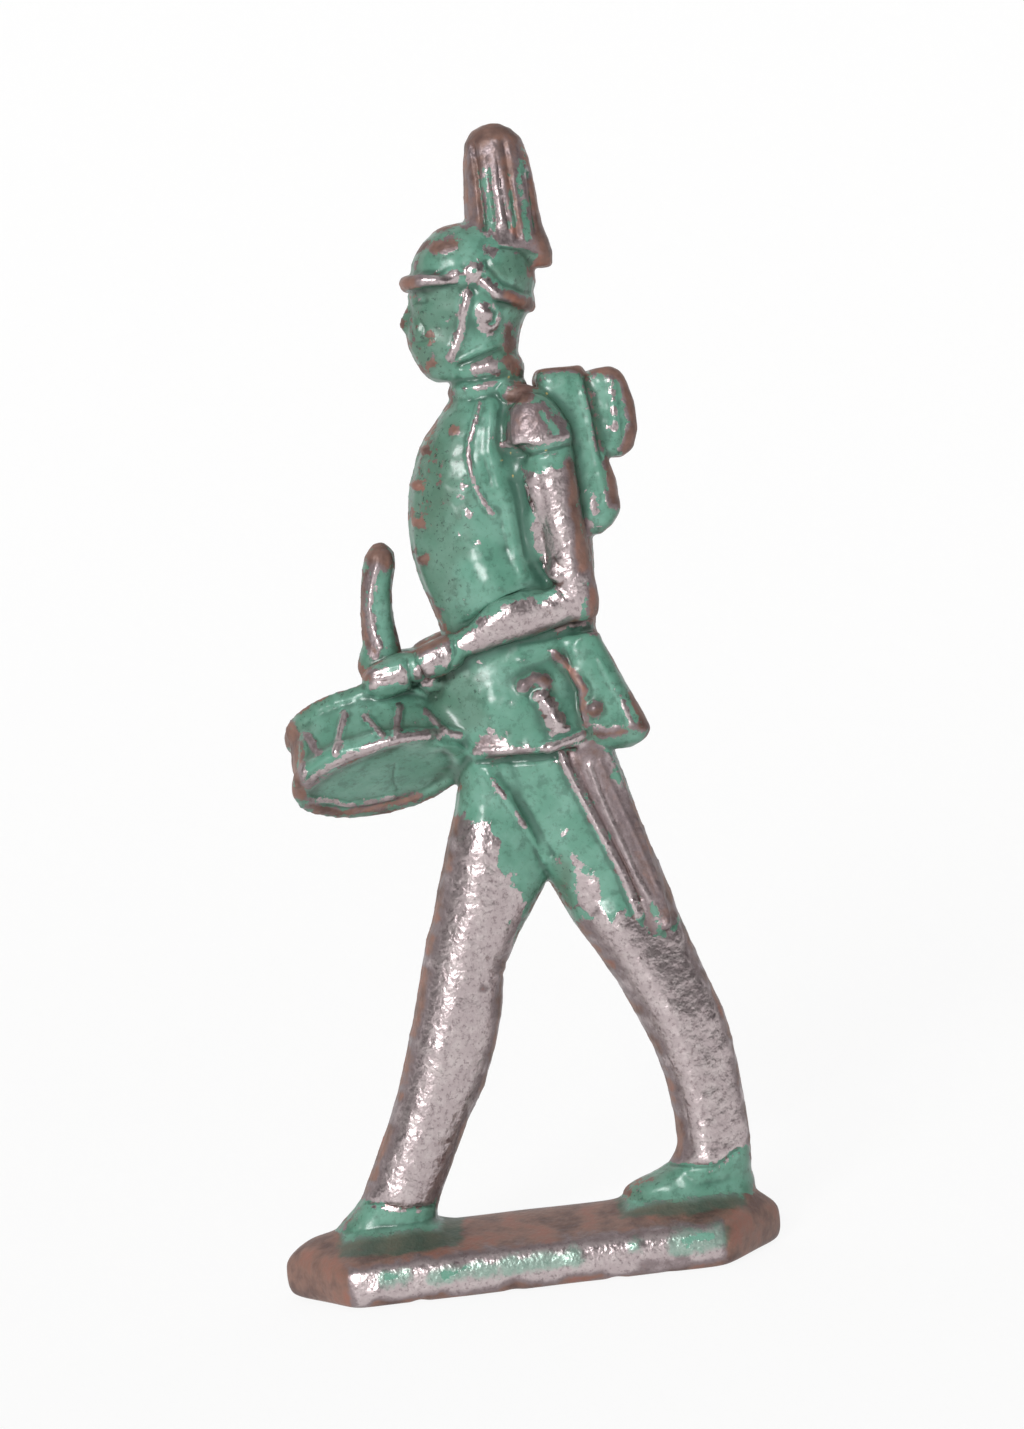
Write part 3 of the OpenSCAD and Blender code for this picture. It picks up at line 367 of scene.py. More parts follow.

# What a worn place shows: bright metal, dull metal, brown (tarnish in spots, and a painted reflection of a
# warm surround in the bands along the outlines), paint worn thin over tarnish, grimy paint, a thin film of
# paint over the metal that is there, a dot of ochre, or paint that has stayed
BARE, DULL, BROWN, THIN, GRIMY, FILM, OCHRE, PAINT = "bare dull brown thin grimy film ochre paint".split()
TARNISH_AND_REFLECTION_OF = {BARE: 0, DULL: 0.54, BROWN: 1, THIN: 0.8, GRIMY: 0.55}
PAINT_OF = {BARE: 0, DULL: 0, BROWN: 0, THIN: 0.72, GRIMY: 0.9}
WEAR_AND_REFLECTION = [
    # Paint worn thin or dirty: front of the coat, face, inside of the rear thigh, folds of the coat
    (GRIMY, patch((-3, 39), (-1.2, 39), (0.2, 42), (0.8, 45.5), (0.6, 50.2), (-2, 50.2))),
    (THIN, patch((-3, 43.5), (-1.2, 43.2), (-0.4, 46), (-0.4, 49.6), (-2, 50.2))),
    (GRIMY, patch((-2.5, 52.5), (1.0, 52.5), (1.2, 54.5), (1.4, 57.2), (-2.5, 57.2))),
    (THIN, patch((-2.5, 52.5), (-0.6, 52.5), (-1.0, 54.5), (-0.8, 57.2), (-2.5, 57.2))),
    (GRIMY, patch((3.2, 57.8), (5.6, 56.4), (6.0, 59), (4.4, 59.4))),
    (GRIMY, patch((2.9, 53.8), (5.0, 54), (4.6, 51.6), (5.6, 50), (3.4, 50.6))),
    (GRIMY, patch((-3.4, 31.8), (0.2, 32), (0.2, 35.4), (-2.6, 35.8))),
    (THIN, patch((3, 20.7), (4.5, 20.7), (4.5, 24), (3.4, 24))),
    # Legs: the paint ends high on both thighs and starts again at the shoes
    (BARE, patch((-4, 27.4), (-1.8, 27.2), (-0.35, 26.8), (0.3, 25.9), (0.45, 24.9), (0.25, 24.0),
                 (1.05, 23.5), (1.05, 22.7), (1.4, 22.05), (1.1, 21.2), (0.3, 19.7), (1.0, 17),
                 (-1, 10), (-5, 5.0), (-7.2, 4.95), (-8.3, 5.3), (-9.6, 5.6), (-13, 8), (-9, 20))),
    (BARE, patch((4.6, 24.3), (4.9, 24.1), (5.35, 22.9), (5.95, 21.55), (6.1, 20.2), (7.3, 20.5),
                 (8.8, 19), (13, 20), (15, 8), (12.4, 6.2), (11.4, 5.7), (10.6, 5.4), (9.6, 5.5),
                 (8.0, 5.8), (7.0, 12), (3.2, 20.2), (5.0, 20.5), (4.6, 22))),
    (BARE, stroke(0.25, (4.1, 25.6))),
    (BROWN, stroke(0.12, (-1.5, 17.1))),
    (BARE, stroke(0.1, (0.4, 28.9), (0.9, 28.0))),
    (BARE, stroke(0.08, (1.5, 27), (1.9, 26.2))),
    # Coat: hem, belt and chest
    (DULL, patch((-0.5, 30.6), (0.1, 31.6), (1.25, 31.5), (2.25, 30.75), (3.05, 30.1), (0.6, 30.2))),
    (BARE, stroke(0.3, (0.8, 30.9), (1.6, 30.7))),
    *[(BARE, stroke(0.16, speck)) for speck in CHEST_SPECKS],
    (BROWN, stroke(0.28, (0.25, 49.2))),
    (DULL, stroke(0.06, *LACE)),
    *[(BROWN, stroke(0.36, button)) for button in BUTTONS],
    # Brown band along the coat's back outline: painted reflection
    (BROWN, stroke(0.3, (7.1, 43), (7.15, 37))),
    # Arm: epaulette, sleeve, forearm, cuff and hand
    (BROWN, patch((3.2, 50.2), (5.0, 50.2), (5.2, 51.3), (3.2, 51.3))),
    (DULL, patch((2.9, 47.65), (3.9, 47.5), (5.0, 47.6), (6.6, 47.9), (6.8, 48.8), (6.0, 49.8),
                 (4.8, 50.2), (3.4, 49.9), (2.9, 48.8))),
    # Bright bare metal along the epaulette's lower ridge: wear, and also a painted highlight
    (BARE, stroke(0.25, (3.5, 48.0), (4.6, 47.95), (5.8, 48.2))),
    (PAINT, stroke(0.22, (5.5, 49.4), (5.9, 48.5))),
    (BARE, patch((3.95, 46.4), (4.1, 44.5), (4.05, 43.1), (4.45, 42.1), (4.55, 40.7), (5.1, 39.9),
                 (5.3, 39.3), (6.4, 38.0), (7.0, 39), (7.0, 46.6))),
    (BARE, patch((-0.85, 36.7), (-0.3, 37.6), (0.75, 38), (2.3, 38.6), (3.9, 38.95), (5.15, 39.3),
                 (6.4, 38.9), (6.5, 37.6), (6.0, 37.3), (4.1, 37.0), (2.6, 36.9), (1.15, 36.6),
                 (0.35, 36.2))),
    # Brown down the sleeve's back edge: painted reflection and shade
    (BROWN, stroke(0.35, (6.6, 46.5), (6.65, 43), (6.7, 40.5))),
    (PAINT, stroke(0.4, (3.3, 46.4), (3.4, 45), (3.5, 42.7), (3.9, 40.9))),
    (BARE, patch((-3.2, 36), (-2.6, 36.5), (-1.4, 36.8), (-1.35, 36.1), (-2.2, 35.7), (-2.5, 34.9),
                 (-3.0, 35.0), (-3.35, 35.6))),
    (BROWN, stroke(0.25, (-2.9, 36.9), (-1.6, 37.3))),
    (BARE, patch((-6.1, 35.0), (-4.1, 35.0), (-4.0, 36.1), (-6.1, 36.2))),
    (BARE, stroke(0.15, (-3.9, 35.8))),
    (BROWN, stroke(0.25, (-6.15, 35.7))),
    # Stick
    (BROWN, stroke(0.8, (-4.75, 42.2))),
    (BROWN, stroke(0.3, (-5.5, 41.4), (-5.95, 39.8), (-5.95, 38.2), (-5.6, 37))),
    (BARE, stroke(0.2, *STICK_EDGE)),
    # Drum: hoop, cords and rims
    (BARE, stroke(0.2, *LOWER_HOOP, side=NEAR)),
    *[(BARE, stroke(0.24, *cord, side=NEAR)) for cord in CORDS],
    # Brown along the drum's left and lower outline: painted reflection
    (BROWN, stroke(0.3, (-10.6, 33), (-10.8, 30.8), (-10.5, 29.2))),
    (BARE, stroke(0.1, (-10.2, 32.35), (-10.4, 30.3))),
    (BROWN, stroke(0.25, (-10.2, 28.7), (-8.5, 28.0), (-6.6, 27.95), (-5, 28.2), (-4, 28.5))),
    (BARE, stroke(0.13, *DRUM_CHIPS)),
    # Sabre
    (DULL, patch((4.5, 30.3), (6.3, 31.0), (7.4, 29), (8.6, 26), (9.6, 23.4), (10.6, 20.5),
                 (9.4, 18.5), (8.3, 19.4), (7.5, 21.8), (6.6, 24.4), (5.4, 27.5), side=NEAR)),
    (BARE, stroke(0.27, *SCABBARD_EDGE, side=NEAR)),
    (BARE, stroke(0.1, *SCABBARD_LINE, side=NEAR)),
    (PAINT, stroke(0.15, (8.8, 21), (9.15, 19), side=NEAR)),
    (DULL, stroke(0.5, *POMMEL, side=NEAR)),
    (BROWN, stroke(0.2, (3.9, 34.4), (4.2, 33.8), side=NEAR)),
    (BARE, stroke(0.55, *GRIP, side=NEAR)),
    (BARE, stroke(0.18, *GUARD, side=NEAR)),
    (BARE, stroke(0.3, *SCABBARD_MOUTH, side=NEAR)),
    # Coat tails
    (BROWN, stroke(0.26, *TAIL_FOLD)),
    # Bright bare specks on the fold's ridge and on the tail button: painted glints
    (BARE, stroke(0.12, (5.8, 33.3))),
    (BARE, stroke(0.12, (5.9, 32.0))),
    (BROWN, stroke(0.52, TAIL_BUTTON)),
    (BARE, stroke(0.12, (6.5, 32.6))),
    # Brown along the rear edge and bottom of the tails: painted reflection
    (BROWN, stroke(0.4, (9.0, 33), (9.4, 31.4))),
    (BROWN, stroke(0.22, (6.2, 31.0), (7.5, 31.0), (9.2, 31.2))),
    (BARE, stroke(0.15, (8.25, 32.6), (8.6, 31.3))),
    # Knapsack and mess tin
    (BROWN, stroke(0.28, (8.85, 46.5), (8.95, 44))),
    (BARE, stroke(0.2, (7.7, 44.5), (7.7, 43.8))),
    *[(BARE, stroke(0.22, spot)) for spot in ((9.45, 50.35), (9.4, 49.3), (9.4, 48.4))],
    # Brown along the top and back edges of the mess tin and the top of the pack: painted reflection
    (BROWN, stroke(0.34, (8.4, 51.8), (9.4, 51.5), (10.2, 51.1), (10.5, 48.4), (9.9, 46.9))),
    (BROWN, stroke(0.25, (4.9, 52.1), (6.4, 52.0), (8.1, 51.8))),
    (BROWN, stroke(0.14, (8.1, 51.4), (8.3, 49.4), (8.45, 47.2))),
    *[(OCHRE, stroke(0.14, dot)) for dot in OCHRE_DOTS],
    # Collar, face and ear
    (DULL, patch((1.5, 51.9), (3.0, 52.0), (3.2, 52.9), (1.7, 52.9))),
    (BARE, stroke(0.22, (1.9, 52.5), (2.8, 52.6))),
    (BARE, stroke(0.12, (1.9, 51.4), (2.6, 51.5))),
    # Brown down the back of the neck, along its outline: painted reflection
    (BROWN, stroke(0.3, (4.0, 54.5), (3.8, 53.2), (4.1, 52))),
    (BARE, stroke(0.28, *CHIN_STRAP)),
    (BARE, stroke(0.6, *EAR)),
    (PAINT, stroke(0.05, *EAR_FOLD)),
    (BROWN, stroke(0.18, (-0.55, 54.6), (-0.5, 54.3))),
    (BROWN, stroke(0.25, (-0.8, 53.0), (-0.4, 53.0))),
    (BROWN, stroke(0.28, (-2.15, 55.4))),
    (BARE, stroke(0.1, (-0.8, 56.65))),
    (BARE, stroke(0.1, (0.4, 55.2))),
    # Helmet
    (BROWN, stroke(0.42, (0.4, 59.4), (1.25, 59.55))),
    (BROWN, stroke(0.4, (-1.6, 57.6), (-0.6, 57.7))),
    (BARE, stroke(0.36, (-0.5, 57.65), (0.5, 57.6), (1.05, 57.75))),
    (BARE, stroke(0.62, BOSS)),
    (PAINT, stroke(0.16, BOSS)),
    (BARE, stroke(0.33, (2.6, 57.4), *HELMET_RIM[:3])),
    (BROWN, stroke(0.36, *HELMET_RIM[2:])),
    # Plume
    (DULL, patch((2.0, 60.6), (3.0, 60.1), (4.0, 59.3), (5.0, 58.9), (5.9, 58.4), (7, 58), (7, 62),
                 (6.2, 64), (5, 66.5), (3.4, 66.5), (2.2, 64.5), (1.9, 62))),
    # Brown over the top of the plume: painted reflection
    (BROWN, patch((1.8, 65.0), (4, 65.2), (6.8, 64.6), (6.8, 67), (1.8, 67))),
    (GRIMY, stroke(0.4, (2.5, 64.5), (2.4, 60.6))),
    # Brown down the plume's back edge: painted reflection
    (BROWN, stroke(0.35, (6.2, 64), (6.4, 60), (6.6, 58.4), (5.7, 57.6))),
    (BARE, stroke(0.2, (4.3, 62.4), (4.2, 60.2))),
    *[(BARE, stroke(0.24, glint)) for glint in ((3.4, 59.0), (4.3, 59.5), (4.95, 59.6))],
    (BROWN, stroke(0.14, (3.05, 64), (3.2, 60.25))),
    (BROWN, stroke(0.14, (4.85, 64), (5.0, 59.6))),
    (PAINT, stroke(0.2, (3.55, 63.4), (3.45, 60.3))),
    (PAINT, stroke(0.09, (4.8, 62.1), (4.85, 60.4))),
    (PAINT, stroke(0.2, (5.6, 63.8), (5.4, 63), (5.5, 61.4), (5.6, 59.3))),
    (PAINT, stroke(0.35, (5.7, 63.1))),
]

# The base's face is bare with scraps of paint, and the rest of the base is brown, a painted reflection of a
# warm surround on its top and ends
BASE_WEAR_AND_REFLECTION = [
    (BROWN, patch((-20, -1), (20, -1), (20, 5), (-20, 5), side=FACE)),
    (BARE, patch((-10.7, 0.1), (-6, 0.25), (-2.6, 0.4), (-1.6, 0.8), (-0.6, 0.4), (3, 0.15), (7, 0.3),
                 (10.6, 0.5), (10.7, 2.5), (3, 2.5), (-4, 2.5), (-10.8, 2.4), side=FACE)),
    (BROWN, stroke(0.2, (-9.5, 0.3), (-7.6, 0.2), (-5.8, 0.4), side=FACE)),
    (BROWN, stroke(0.25, (1.4, 0.3), (3.4, 0.4), side=FACE)),
    (DULL, stroke(0.3, (5.8, 0.7), (8.2, 0.8), side=FACE)),
    (PAINT, patch((-11, -1.8), (-8, -2.1), (-5.4, -1.8), (-5.2, 1.8), (-8, 2.1), (-11, 1.8), side=TOP)),
    (PAINT, patch((5.6, -1.8), (9, -2.1), (12.2, -1.8), (12.2, 1.8), (9, 2.1), (5.6, 1.8), side=TOP)),
    (FILM, patch((-11.4, -3.2), (-8, -3.9), (-4.4, -3.4), (-3.8, 0), (-4.4, 3.4), (-8, 3.9),
                 (-11.4, 3.2), side=TOP)),
    (FILM, patch((5.0, -2.6), (9, -3.2), (12.4, -2.6), (12.6, 0), (12.4, 2.6), (9, 3.2),
                 (5.0, 2.6), side=TOP)),
    (FILM, stroke(0.55, (-8.8, 1.65), (-7.8, 1.65), side=FACE)),
    (FILM, stroke(0.5, (-5.9, 1.5), (-4.1, 1.6), (-2.6, 1.5), side=FACE)),
    (FILM, stroke(0.55, (-1.8, 1.6), (2.0, 1.65), side=FACE)),
    (FILM, stroke(0.45, (5.5, 1.9), side=FACE)),
    (FILM, stroke(0.7, (7.9, 1.7), (10.3, 1.8), side=FACE)),
    (PAINT, stroke(0.22, (-8.6, 1.75), (-8.0, 1.7), side=FACE)),
    (PAINT, stroke(0.16, (-5.6, 1.6), (-4.1, 1.7), side=FACE)),
    (PAINT, stroke(0.2, (5.5, 2.0), side=FACE)),
    (PAINT, stroke(0.2, (8.4, 1.9), (9.8, 1.95), side=FACE)),
]


def camera_axes():
    """The picture's right, the picture's up and the way back to the eye."""
    back = Vector((
        math.sin(EYE_TURN) * math.cos(EYE_RISE),
        -math.cos(EYE_TURN) * math.cos(EYE_RISE),
        math.sin(EYE_RISE),
    ))
    level = Vector((math.cos(EYE_TURN), math.sin(EYE_TURN), 0))
    upright = back.cross(level)
    right = level * math.cos(EYE_ROLL) - upright * math.sin(EYE_ROLL)
    up = level * math.sin(EYE_ROLL) + upright * math.cos(EYE_ROLL)
    return right, up, back


EYE = AIM + camera_axes()[2] * EYE_DISTANCE


def form_copy(node):
    """A merged copy of one solid, in millimetres, as a mesh being edited."""
    form = bmesh.new()
    form.from_mesh(node.data)
    bmesh.ops.scale(form, vec=(1 / MM, 1 / MM, 1 / MM), verts=form.verts)
    bmesh.ops.remove_doubles(form, verts=form.verts, dist=WELD)
    bmesh.ops.recalc_face_normals(form, faces=form.faces)
    form.normal_update()
    return form


def evaluated(mesh, add_modifiers):
    """The mesh with modifiers applied."""
    holder = bpy.data.objects.new("casting_in_work", mesh)
    bpy.context.scene.collection.objects.link(holder)
    add_modifiers(holder)
    result = bpy.data.meshes.new_from_object(holder.evaluated_get(bpy.context.evaluated_depsgraph_get()))
    bpy.data.objects.remove(holder)
    return result


def fused_casting():
    """One skin round all the grown solids, with the unevenness of the mould."""
    joined = bmesh.new()
    for name, node in frame["nodes"].items():
        if name in SCULPTED:
            continue
        form = form_copy(node)
        for corner in form.verts:
            corner.co += corner.normal * OVERLAP
        grown = bpy.data.meshes.new("grown")
        form.to_mesh(grown)
        form.free()
        joined.from_mesh(grown)
        bpy.data.meshes.remove(grown)
    for middle, half_sizes in WEBS:
        place = Matrix.LocRotScale(Vector(middle), None, Vector(half_sizes))
        bmesh.ops.create_uvsphere(
            joined, u_segments=WEB_SEGMENTS, v_segments=WEB_RINGS, radius=1, matrix=place,
        )
    solids = bpy.data.meshes.new("solids")
    joined.to_mesh(solids)
    joined.free()

    def skin(holder):
        remesh = holder.modifiers.new("skin", "REMESH")
        remesh.mode = "VOXEL"
        remesh.voxel_size = GRAIN

    casting = evaluated(solids, skin)
    soften(casting, *SOFTENING)
    round_broad_forms(casting)

    def lumps(holder):
        for height, length in LUMPS:
            texture = bpy.data.textures.new("mould_lumps", "CLOUDS")
            texture.noise_scale = length
            uneven = holder.modifiers.new("lumps", "DISPLACE")
            uneven.texture = texture
            uneven.texture_coords = "LOCAL"
            uneven.strength = height

    return evaluated(casting, lumps)


def read(collection, field, width, kind=np.float64):
    """One field of all the items of a mesh collection, as an array."""
    values = np.zeros(len(collection) * width, kind)
    collection.foreach_get(field, values)
    return values.reshape(-1, width) if width > 1 else values


def neighbour_mean(points, edges, count):
    """For each point, the mean of the points that share an edge with it."""
    total = np.empty_like(points)
    for axis in range(points.shape[1]):
        along = points[:, axis]
        total[:, axis] = np.bincount(edges[:, 0], along[edges[:, 1]], count)
        total[:, axis] += np.bincount(edges[:, 1], along[edges[:, 0]], count)
    share = np.bincount(edges.ravel(), minlength=count)
    return total / np.maximum(share, 1)[:, None]


def soften(mesh, rounds, push, share=1):
    """Smooths a mesh, or a share of it: each round pulls the points in and pushes them out again."""
    points = read(mesh.vertices, "co", 3)
    edges = read(mesh.edges, "vertices", 2, np.int32)
    for step in [PULL, -push] * rounds:
        points += (neighbour_mean(points, edges, len(points)) - points) * step * share
    mesh.vertices.foreach_set("co", points.ravel())
    mesh.update()


def round_broad_forms(mesh):
    """Rounds the broad forms, whose solids have few and wide facets."""
    names = sorted(frame["nodes"])
    broad = np.array([name in BROAD_FORMS for name in names])
    points = read(mesh.vertices, "co", 3)
    owner = nearest_forms(points + read(mesh.vertex_normals, "vector", 3) * PROBE, names)
    share = broad[owner].astype(float)[:, None]
    edges = read(mesh.edges, "vertices", 2, np.int32)
    for _ in range(ROUNDING_FADE):
        share = neighbour_mean(share, edges, len(points))
    soften(mesh, *ROUNDING, share)


def settle(mesh, share, rounds):
    """Smooths the part of a mesh that has a share; the rest holds still."""
    points = read(mesh.vertices, "co", 3)
    edges = read(mesh.edges, "vertices", 2, np.int32)
    used, ends = np.unique(edges[(share > 0)[edges].any(1)], return_inverse=True)
    at = points[used]
    for _ in range(rounds):
        at += (neighbour_mean(at, ends.reshape(-1, 2), len(at)) - at) * share[used, None] * PULL
    points[used] = at
    mesh.vertices.foreach_set("co", points.ravel())
    mesh.update()


def melt(mesh):
    """Rounds off the base and takes out the steps between solids that the casting doesn't have."""
    surface = Surface(mesh)
    settle(mesh, surface.base.astype(float), BASE_ROUNDS)
    surface = Surface(mesh)
    facing = np.hypot(surface.normals[:, 1], surface.normals[:, 2])
    kept = np.clip(facing * MELT_FACING_GAIN - MELT_FACING_START, 0, 1)
    settle(mesh, surface.share_in(MELTED, MELT_EDGE) * kept, MELT_ROUNDS)


def wander(points):
    """An uneven shift in the mark plane for each point."""
    x, y, z = points.T
    shift = np.zeros((len(points), 2))
    for size, waves in WANDER:
        turn = waves * (x + WAVE_TURN_Z * z + WAVE_TURN_Y * y)
        other = waves * (z + WAVE_OTHER_X * x + WAVE_OTHER_Y * y)
        for axis, (along, across) in enumerate(((turn, other), (other, turn))):
            bend, quickness, start = WAVE_BENDS[axis]
            shift[:, axis] += size * np.sin(along + bend * np.sin(quickness * across + start))
    return shift


class Surface:
    """The casting's points, where each is seen in the mark plane, and which side it is on."""

    def __init__(self, mesh):
        self.points = read(mesh.vertices, "co", 3)
        self.normals = read(mesh.vertex_normals, "vector", 3)
        front_y = -np.abs(self.points[:, 1])
        reach = (MARK_PLANE_Y - EYE.y) / (front_y - EYE.y)
        seen_x = EYE.x + (self.points[:, 0] - EYE.x) * reach
        seen_z = EYE.z + (self.points[:, 2] - EYE.z) * reach
        self.seen = np.stack([seen_x, seen_z], 1)
        self.flat = self.points[:, [0, 2]]
        self.near = self.normals[:, 1] < NEAR_FACING
        level = self.normals[:, 2] > LEVEL_FACING
        self.base = self.points[:, 2] < BASE_TOP + level * BASE_RISE
        self.base_top = self.base & level
        self.shift = None

    def inside(self, mark, margin):
        """Indices of the points in or near a mark, and how far inside it each one is."""
        corners = np.array(mark["points"], float)
        on_base = mark["side"] in (FACE, TOP)
        places = {FACE: self.flat, TOP: self.points[:, :2]}.get(mark["side"], self.seen)
        if self.shift is not None:
            places = places + self.shift * (1 if mark["closed"] and not on_base else STROKE_WANDER)
        reach = mark["width"] + margin
        low, high = corners.min(0) - reach, corners.max(0) + reach
        pick = ((places > low) & (places < high)).all(1)
        if on_base:
            pick &= self.base_top if mark["side"] == TOP else self.base
        elif mark["side"] == NEAR:
            pick &= self.near
        pick = np.nonzero(pick)[0]
        at = places[pick]
        ends = np.roll(corners, -1, 0) if mark["closed"] else corners[1:]
        starts = corners if mark["closed"] else corners[:-1]
        if len(corners) == 1:
            starts, ends = corners, corners
        distance = np.full(len(at), np.inf)
        crossed = np.zeros(len(at), bool)
        for start, end in zip(starts, ends):
            along = end - start
            share = np.clip((at - start) @ along / max(along @ along, TINY), 0, 1)
            distance = np.minimum(distance, np.linalg.norm(at - start - share[:, None] * along, axis=1))
            if mark["closed"] and start[1] != end[1]:
                level = (at[:, 1] - start[1]) / (end[1] - start[1])
                straddles = (start[1] > at[:, 1]) != (end[1] > at[:, 1])
                crossed ^= straddles & (at[:, 0] < start[0] + level * along[0])
        if mark["closed"]:
            return pick, np.where(crossed, distance, -distance)
        return pick, mark["width"] - distance

    def share_in(self, marks, edge):
        """How far inside any of the marks each point is, from 0 at the outline to 1 at an edge's width."""
        share = np.zeros(len(self.points))
        for mark in marks:
            pick, depth = self.inside(mark, 0)
            share[pick] = np.maximum(share[pick], np.clip(depth / edge, 0, 1))
        return share


def sculpt(mesh):
    """Raises and cuts the relief and the seam of the mould, and eases what came out too sharp."""
    surface = Surface(mesh)
    rise = np.zeros(len(surface.points))
    for mark in RELIEF:
        pick, depth = surface.inside(mark, 0)
        share = np.clip(depth / mark["width"], 0, 1)
        rise[pick] += mark["height"] * share * share * (3 - 2 * share)
    edge_on = 1 - np.abs(surface.normals[:, 1])
    seam = np.clip(1 - np.abs(surface.points[:, 1]) / SEAM_W, 0, 1) * np.clip(edge_on * 2 - 1, 0, 1)
    rise += SEAM_H * seam * ~surface.base
    points = surface.points + surface.normals * rise[:, None]
    points[:, 2] = np.maximum(points[:, 2], 0)
    mesh.vertices.foreach_set("co", points.ravel())
    mesh.update()
    soften(mesh, *FINISHING)
    settle(mesh, Surface(mesh).share_in(EASED, EASED_EDGE), EASED_ROUNDS)


def wear_and_rim_shade(mesh):
    """Where paint, tarnish with the painted brown reflection and shade of the rims, and hollows are, as
    values from 0 to 1 on the casting's points.
    """
    surface = Surface(mesh)
    surface.shift = wander(surface.points)
    count = len(surface.points)
    edges = read(mesh.edges, "vertices", 2, np.int32)
    paint = np.ones(count)
    over = {FILM: np.zeros(count), OCHRE: np.zeros(count)}
    facing = surface.normals
    for _ in range(RIM_BLUR):
        facing = neighbour_mean(facing, edges, count)
    edge_on = 1 - np.abs(facing[:, 1]) / np.maximum(np.linalg.norm(facing, axis=1), LEAST_FACING)
    # Rims that turn away from the front get painted brown reflection and painted shade, and lose paint there
    rim = np.clip((edge_on - RIM_START) / RIM_SPAN, 0, 1) * ~surface.base
    pick, depth = surface.inside(patch(*DRUM_SKIN, side=NEAR), PAINT_EDGE)
    rim[pick] *= np.clip(0.5 - depth / PAINT_EDGE, 0, 1)
    rim *= np.clip(RIM_MIDDLE + surface.shift.sum(1) * RIM_UNEVEN, RIM_LEAST, 1)
    paint -= rim * rim * RIM_WEAR
    tarnish_and_rim_shade = rim.copy()
    for kind, mark in WEAR_AND_REFLECTION + BASE_WEAR_AND_REFLECTION:
        pick, depth = surface.inside(mark, PAINT_EDGE)
        if mark["side"] not in (FACE, TOP):
            keep = ~surface.base[pick]
            pick, depth = pick[keep], depth[keep]
        amount = np.clip(0.5 + depth / PAINT_EDGE, 0, 1)
        if kind in (FILM, OCHRE):
            over[kind][pick] = np.maximum(over[kind][pick], amount)
        elif kind == PAINT:
            paint[pick] = np.maximum(paint[pick], amount)
            tarnish_and_rim_shade[pick] = np.minimum(tarnish_and_rim_shade[pick], 1 - amount)
        else:
            paint[pick] = np.minimum(paint[pick], 1 - amount * (1 - PAINT_OF[kind]))
            tarnish_and_rim_shade[pick] += (TARNISH_AND_REFLECTION_OF[kind] - tarnish_and_rim_shade[pick]) * amount
    tarnish_and_rim_shade = np.maximum(tarnish_and_rim_shade, rim * RIM_SHADE_KEPT)
    fields = {"paint": paint, "tarnish_and_rim_shade": tarnish_and_rim_shade, **over}
    bend = surface.points
    for name, rounds, depth in HOLLOWS:
        for _ in range(rounds):
            bend = neighbour_mean(bend, edges, count)
        fields[name] = np.clip(0.5 + ((bend - surface.points) * surface.normals).sum(1) / depth, 0, 1)
    for name, values in fields.items():
        field = mesh.attributes.new(name, "FLOAT", "POINT")
        field.data.foreach_set("value", values.astype(np.float32))
    field = mesh.attributes.new("soft_normal", "FLOAT_VECTOR", "POINT")
    field.data.foreach_set("vector", surface.normals.astype(np.float32).ravel())


def nearest_forms(points, names):
    """For each point, the number of the solid that it is nearest to."""
    corners, triangles, owner = [], [], []
    for number, name in enumerate(names):
        form = form_copy(frame["nodes"][name])
        bmesh.ops.triangulate(form, faces=form.faces)
        start = len(corners)
        form.verts.index_update()
        corners += [corner.co.copy() for corner in form.verts]
        triangles += [[start + corner.index for corner in face.verts] for face in form.faces]
        owner += [number] * len(form.faces)
        form.free()
    tree = BVHTree.FromPolygons(corners, triangles)
    return np.array([owner[tree.find_nearest(Vector(point))[2]] for point in points])


def tidy_labels(mesh, labels, count):
    """Smooths the borders between the forms until each border is a plain line."""
    loop_face = np.repeat(np.arange(len(labels)), read(mesh.polygons, "loop_total", 1, np.int32))
    loop_corner = read(mesh.loops, "vertex_index", 1, np.int32)
    loop_edge = read(mesh.loops, "edge_index", 1, np.int32)
    edges = read(mesh.edges, "vertices", 2, np.int32)
    beside = loop_face[np.argsort(loop_edge, kind="stable")].reshape(-1, 2)
    points = len(mesh.vertices)

    def votes_at_corners():
        votes = np.bincount(loop_corner * count + labels[loop_face], minlength=points * count)
        return votes.reshape(points, count)

    for _ in range(BORDER_VOTES):
        votes = votes_at_corners()
        tally = np.zeros((len(labels), count), np.int32)
        np.add.at(tally, loop_face, votes[loop_corner])
        tally[np.arange(len(labels)), labels] += 1
        labels = tally.argmax(1)
    for _ in range(BORDER_MENDS):
        border = labels[beside[:, 0]] != labels[beside[:, 1]]
        ends = edges[border]
        touching = np.zeros(points * count, np.int32)
        for end in (0, 1):
            for face in (0, 1):
                np.add.at(touching, ends[:, end] * count + labels[beside[border, face]], 1)
        crossing = (touching.reshape(points, count) > 2).any(1)
        if not crossing.any():
            break
        winner = votes_at_corners().argmax(1)
        moved = crossing[loop_corner]
        labels = labels.copy()
        labels[loop_face[moved]] = winner[loop_corner[moved]]
    return labels


def close_piece(piece):
    """Closes a piece by giving its skin a thickness, and brings it to metres."""

    def thicken(holder):
        skin = holder.modifiers.new("skin", "SOLIDIFY")
        skin.thickness = SKIN
        skin.offset = -1
        skin.use_even_offset = False

    piece.data = evaluated(piece.data, thicken)
    piece.data.transform(Matrix.Scale(MM, 4))


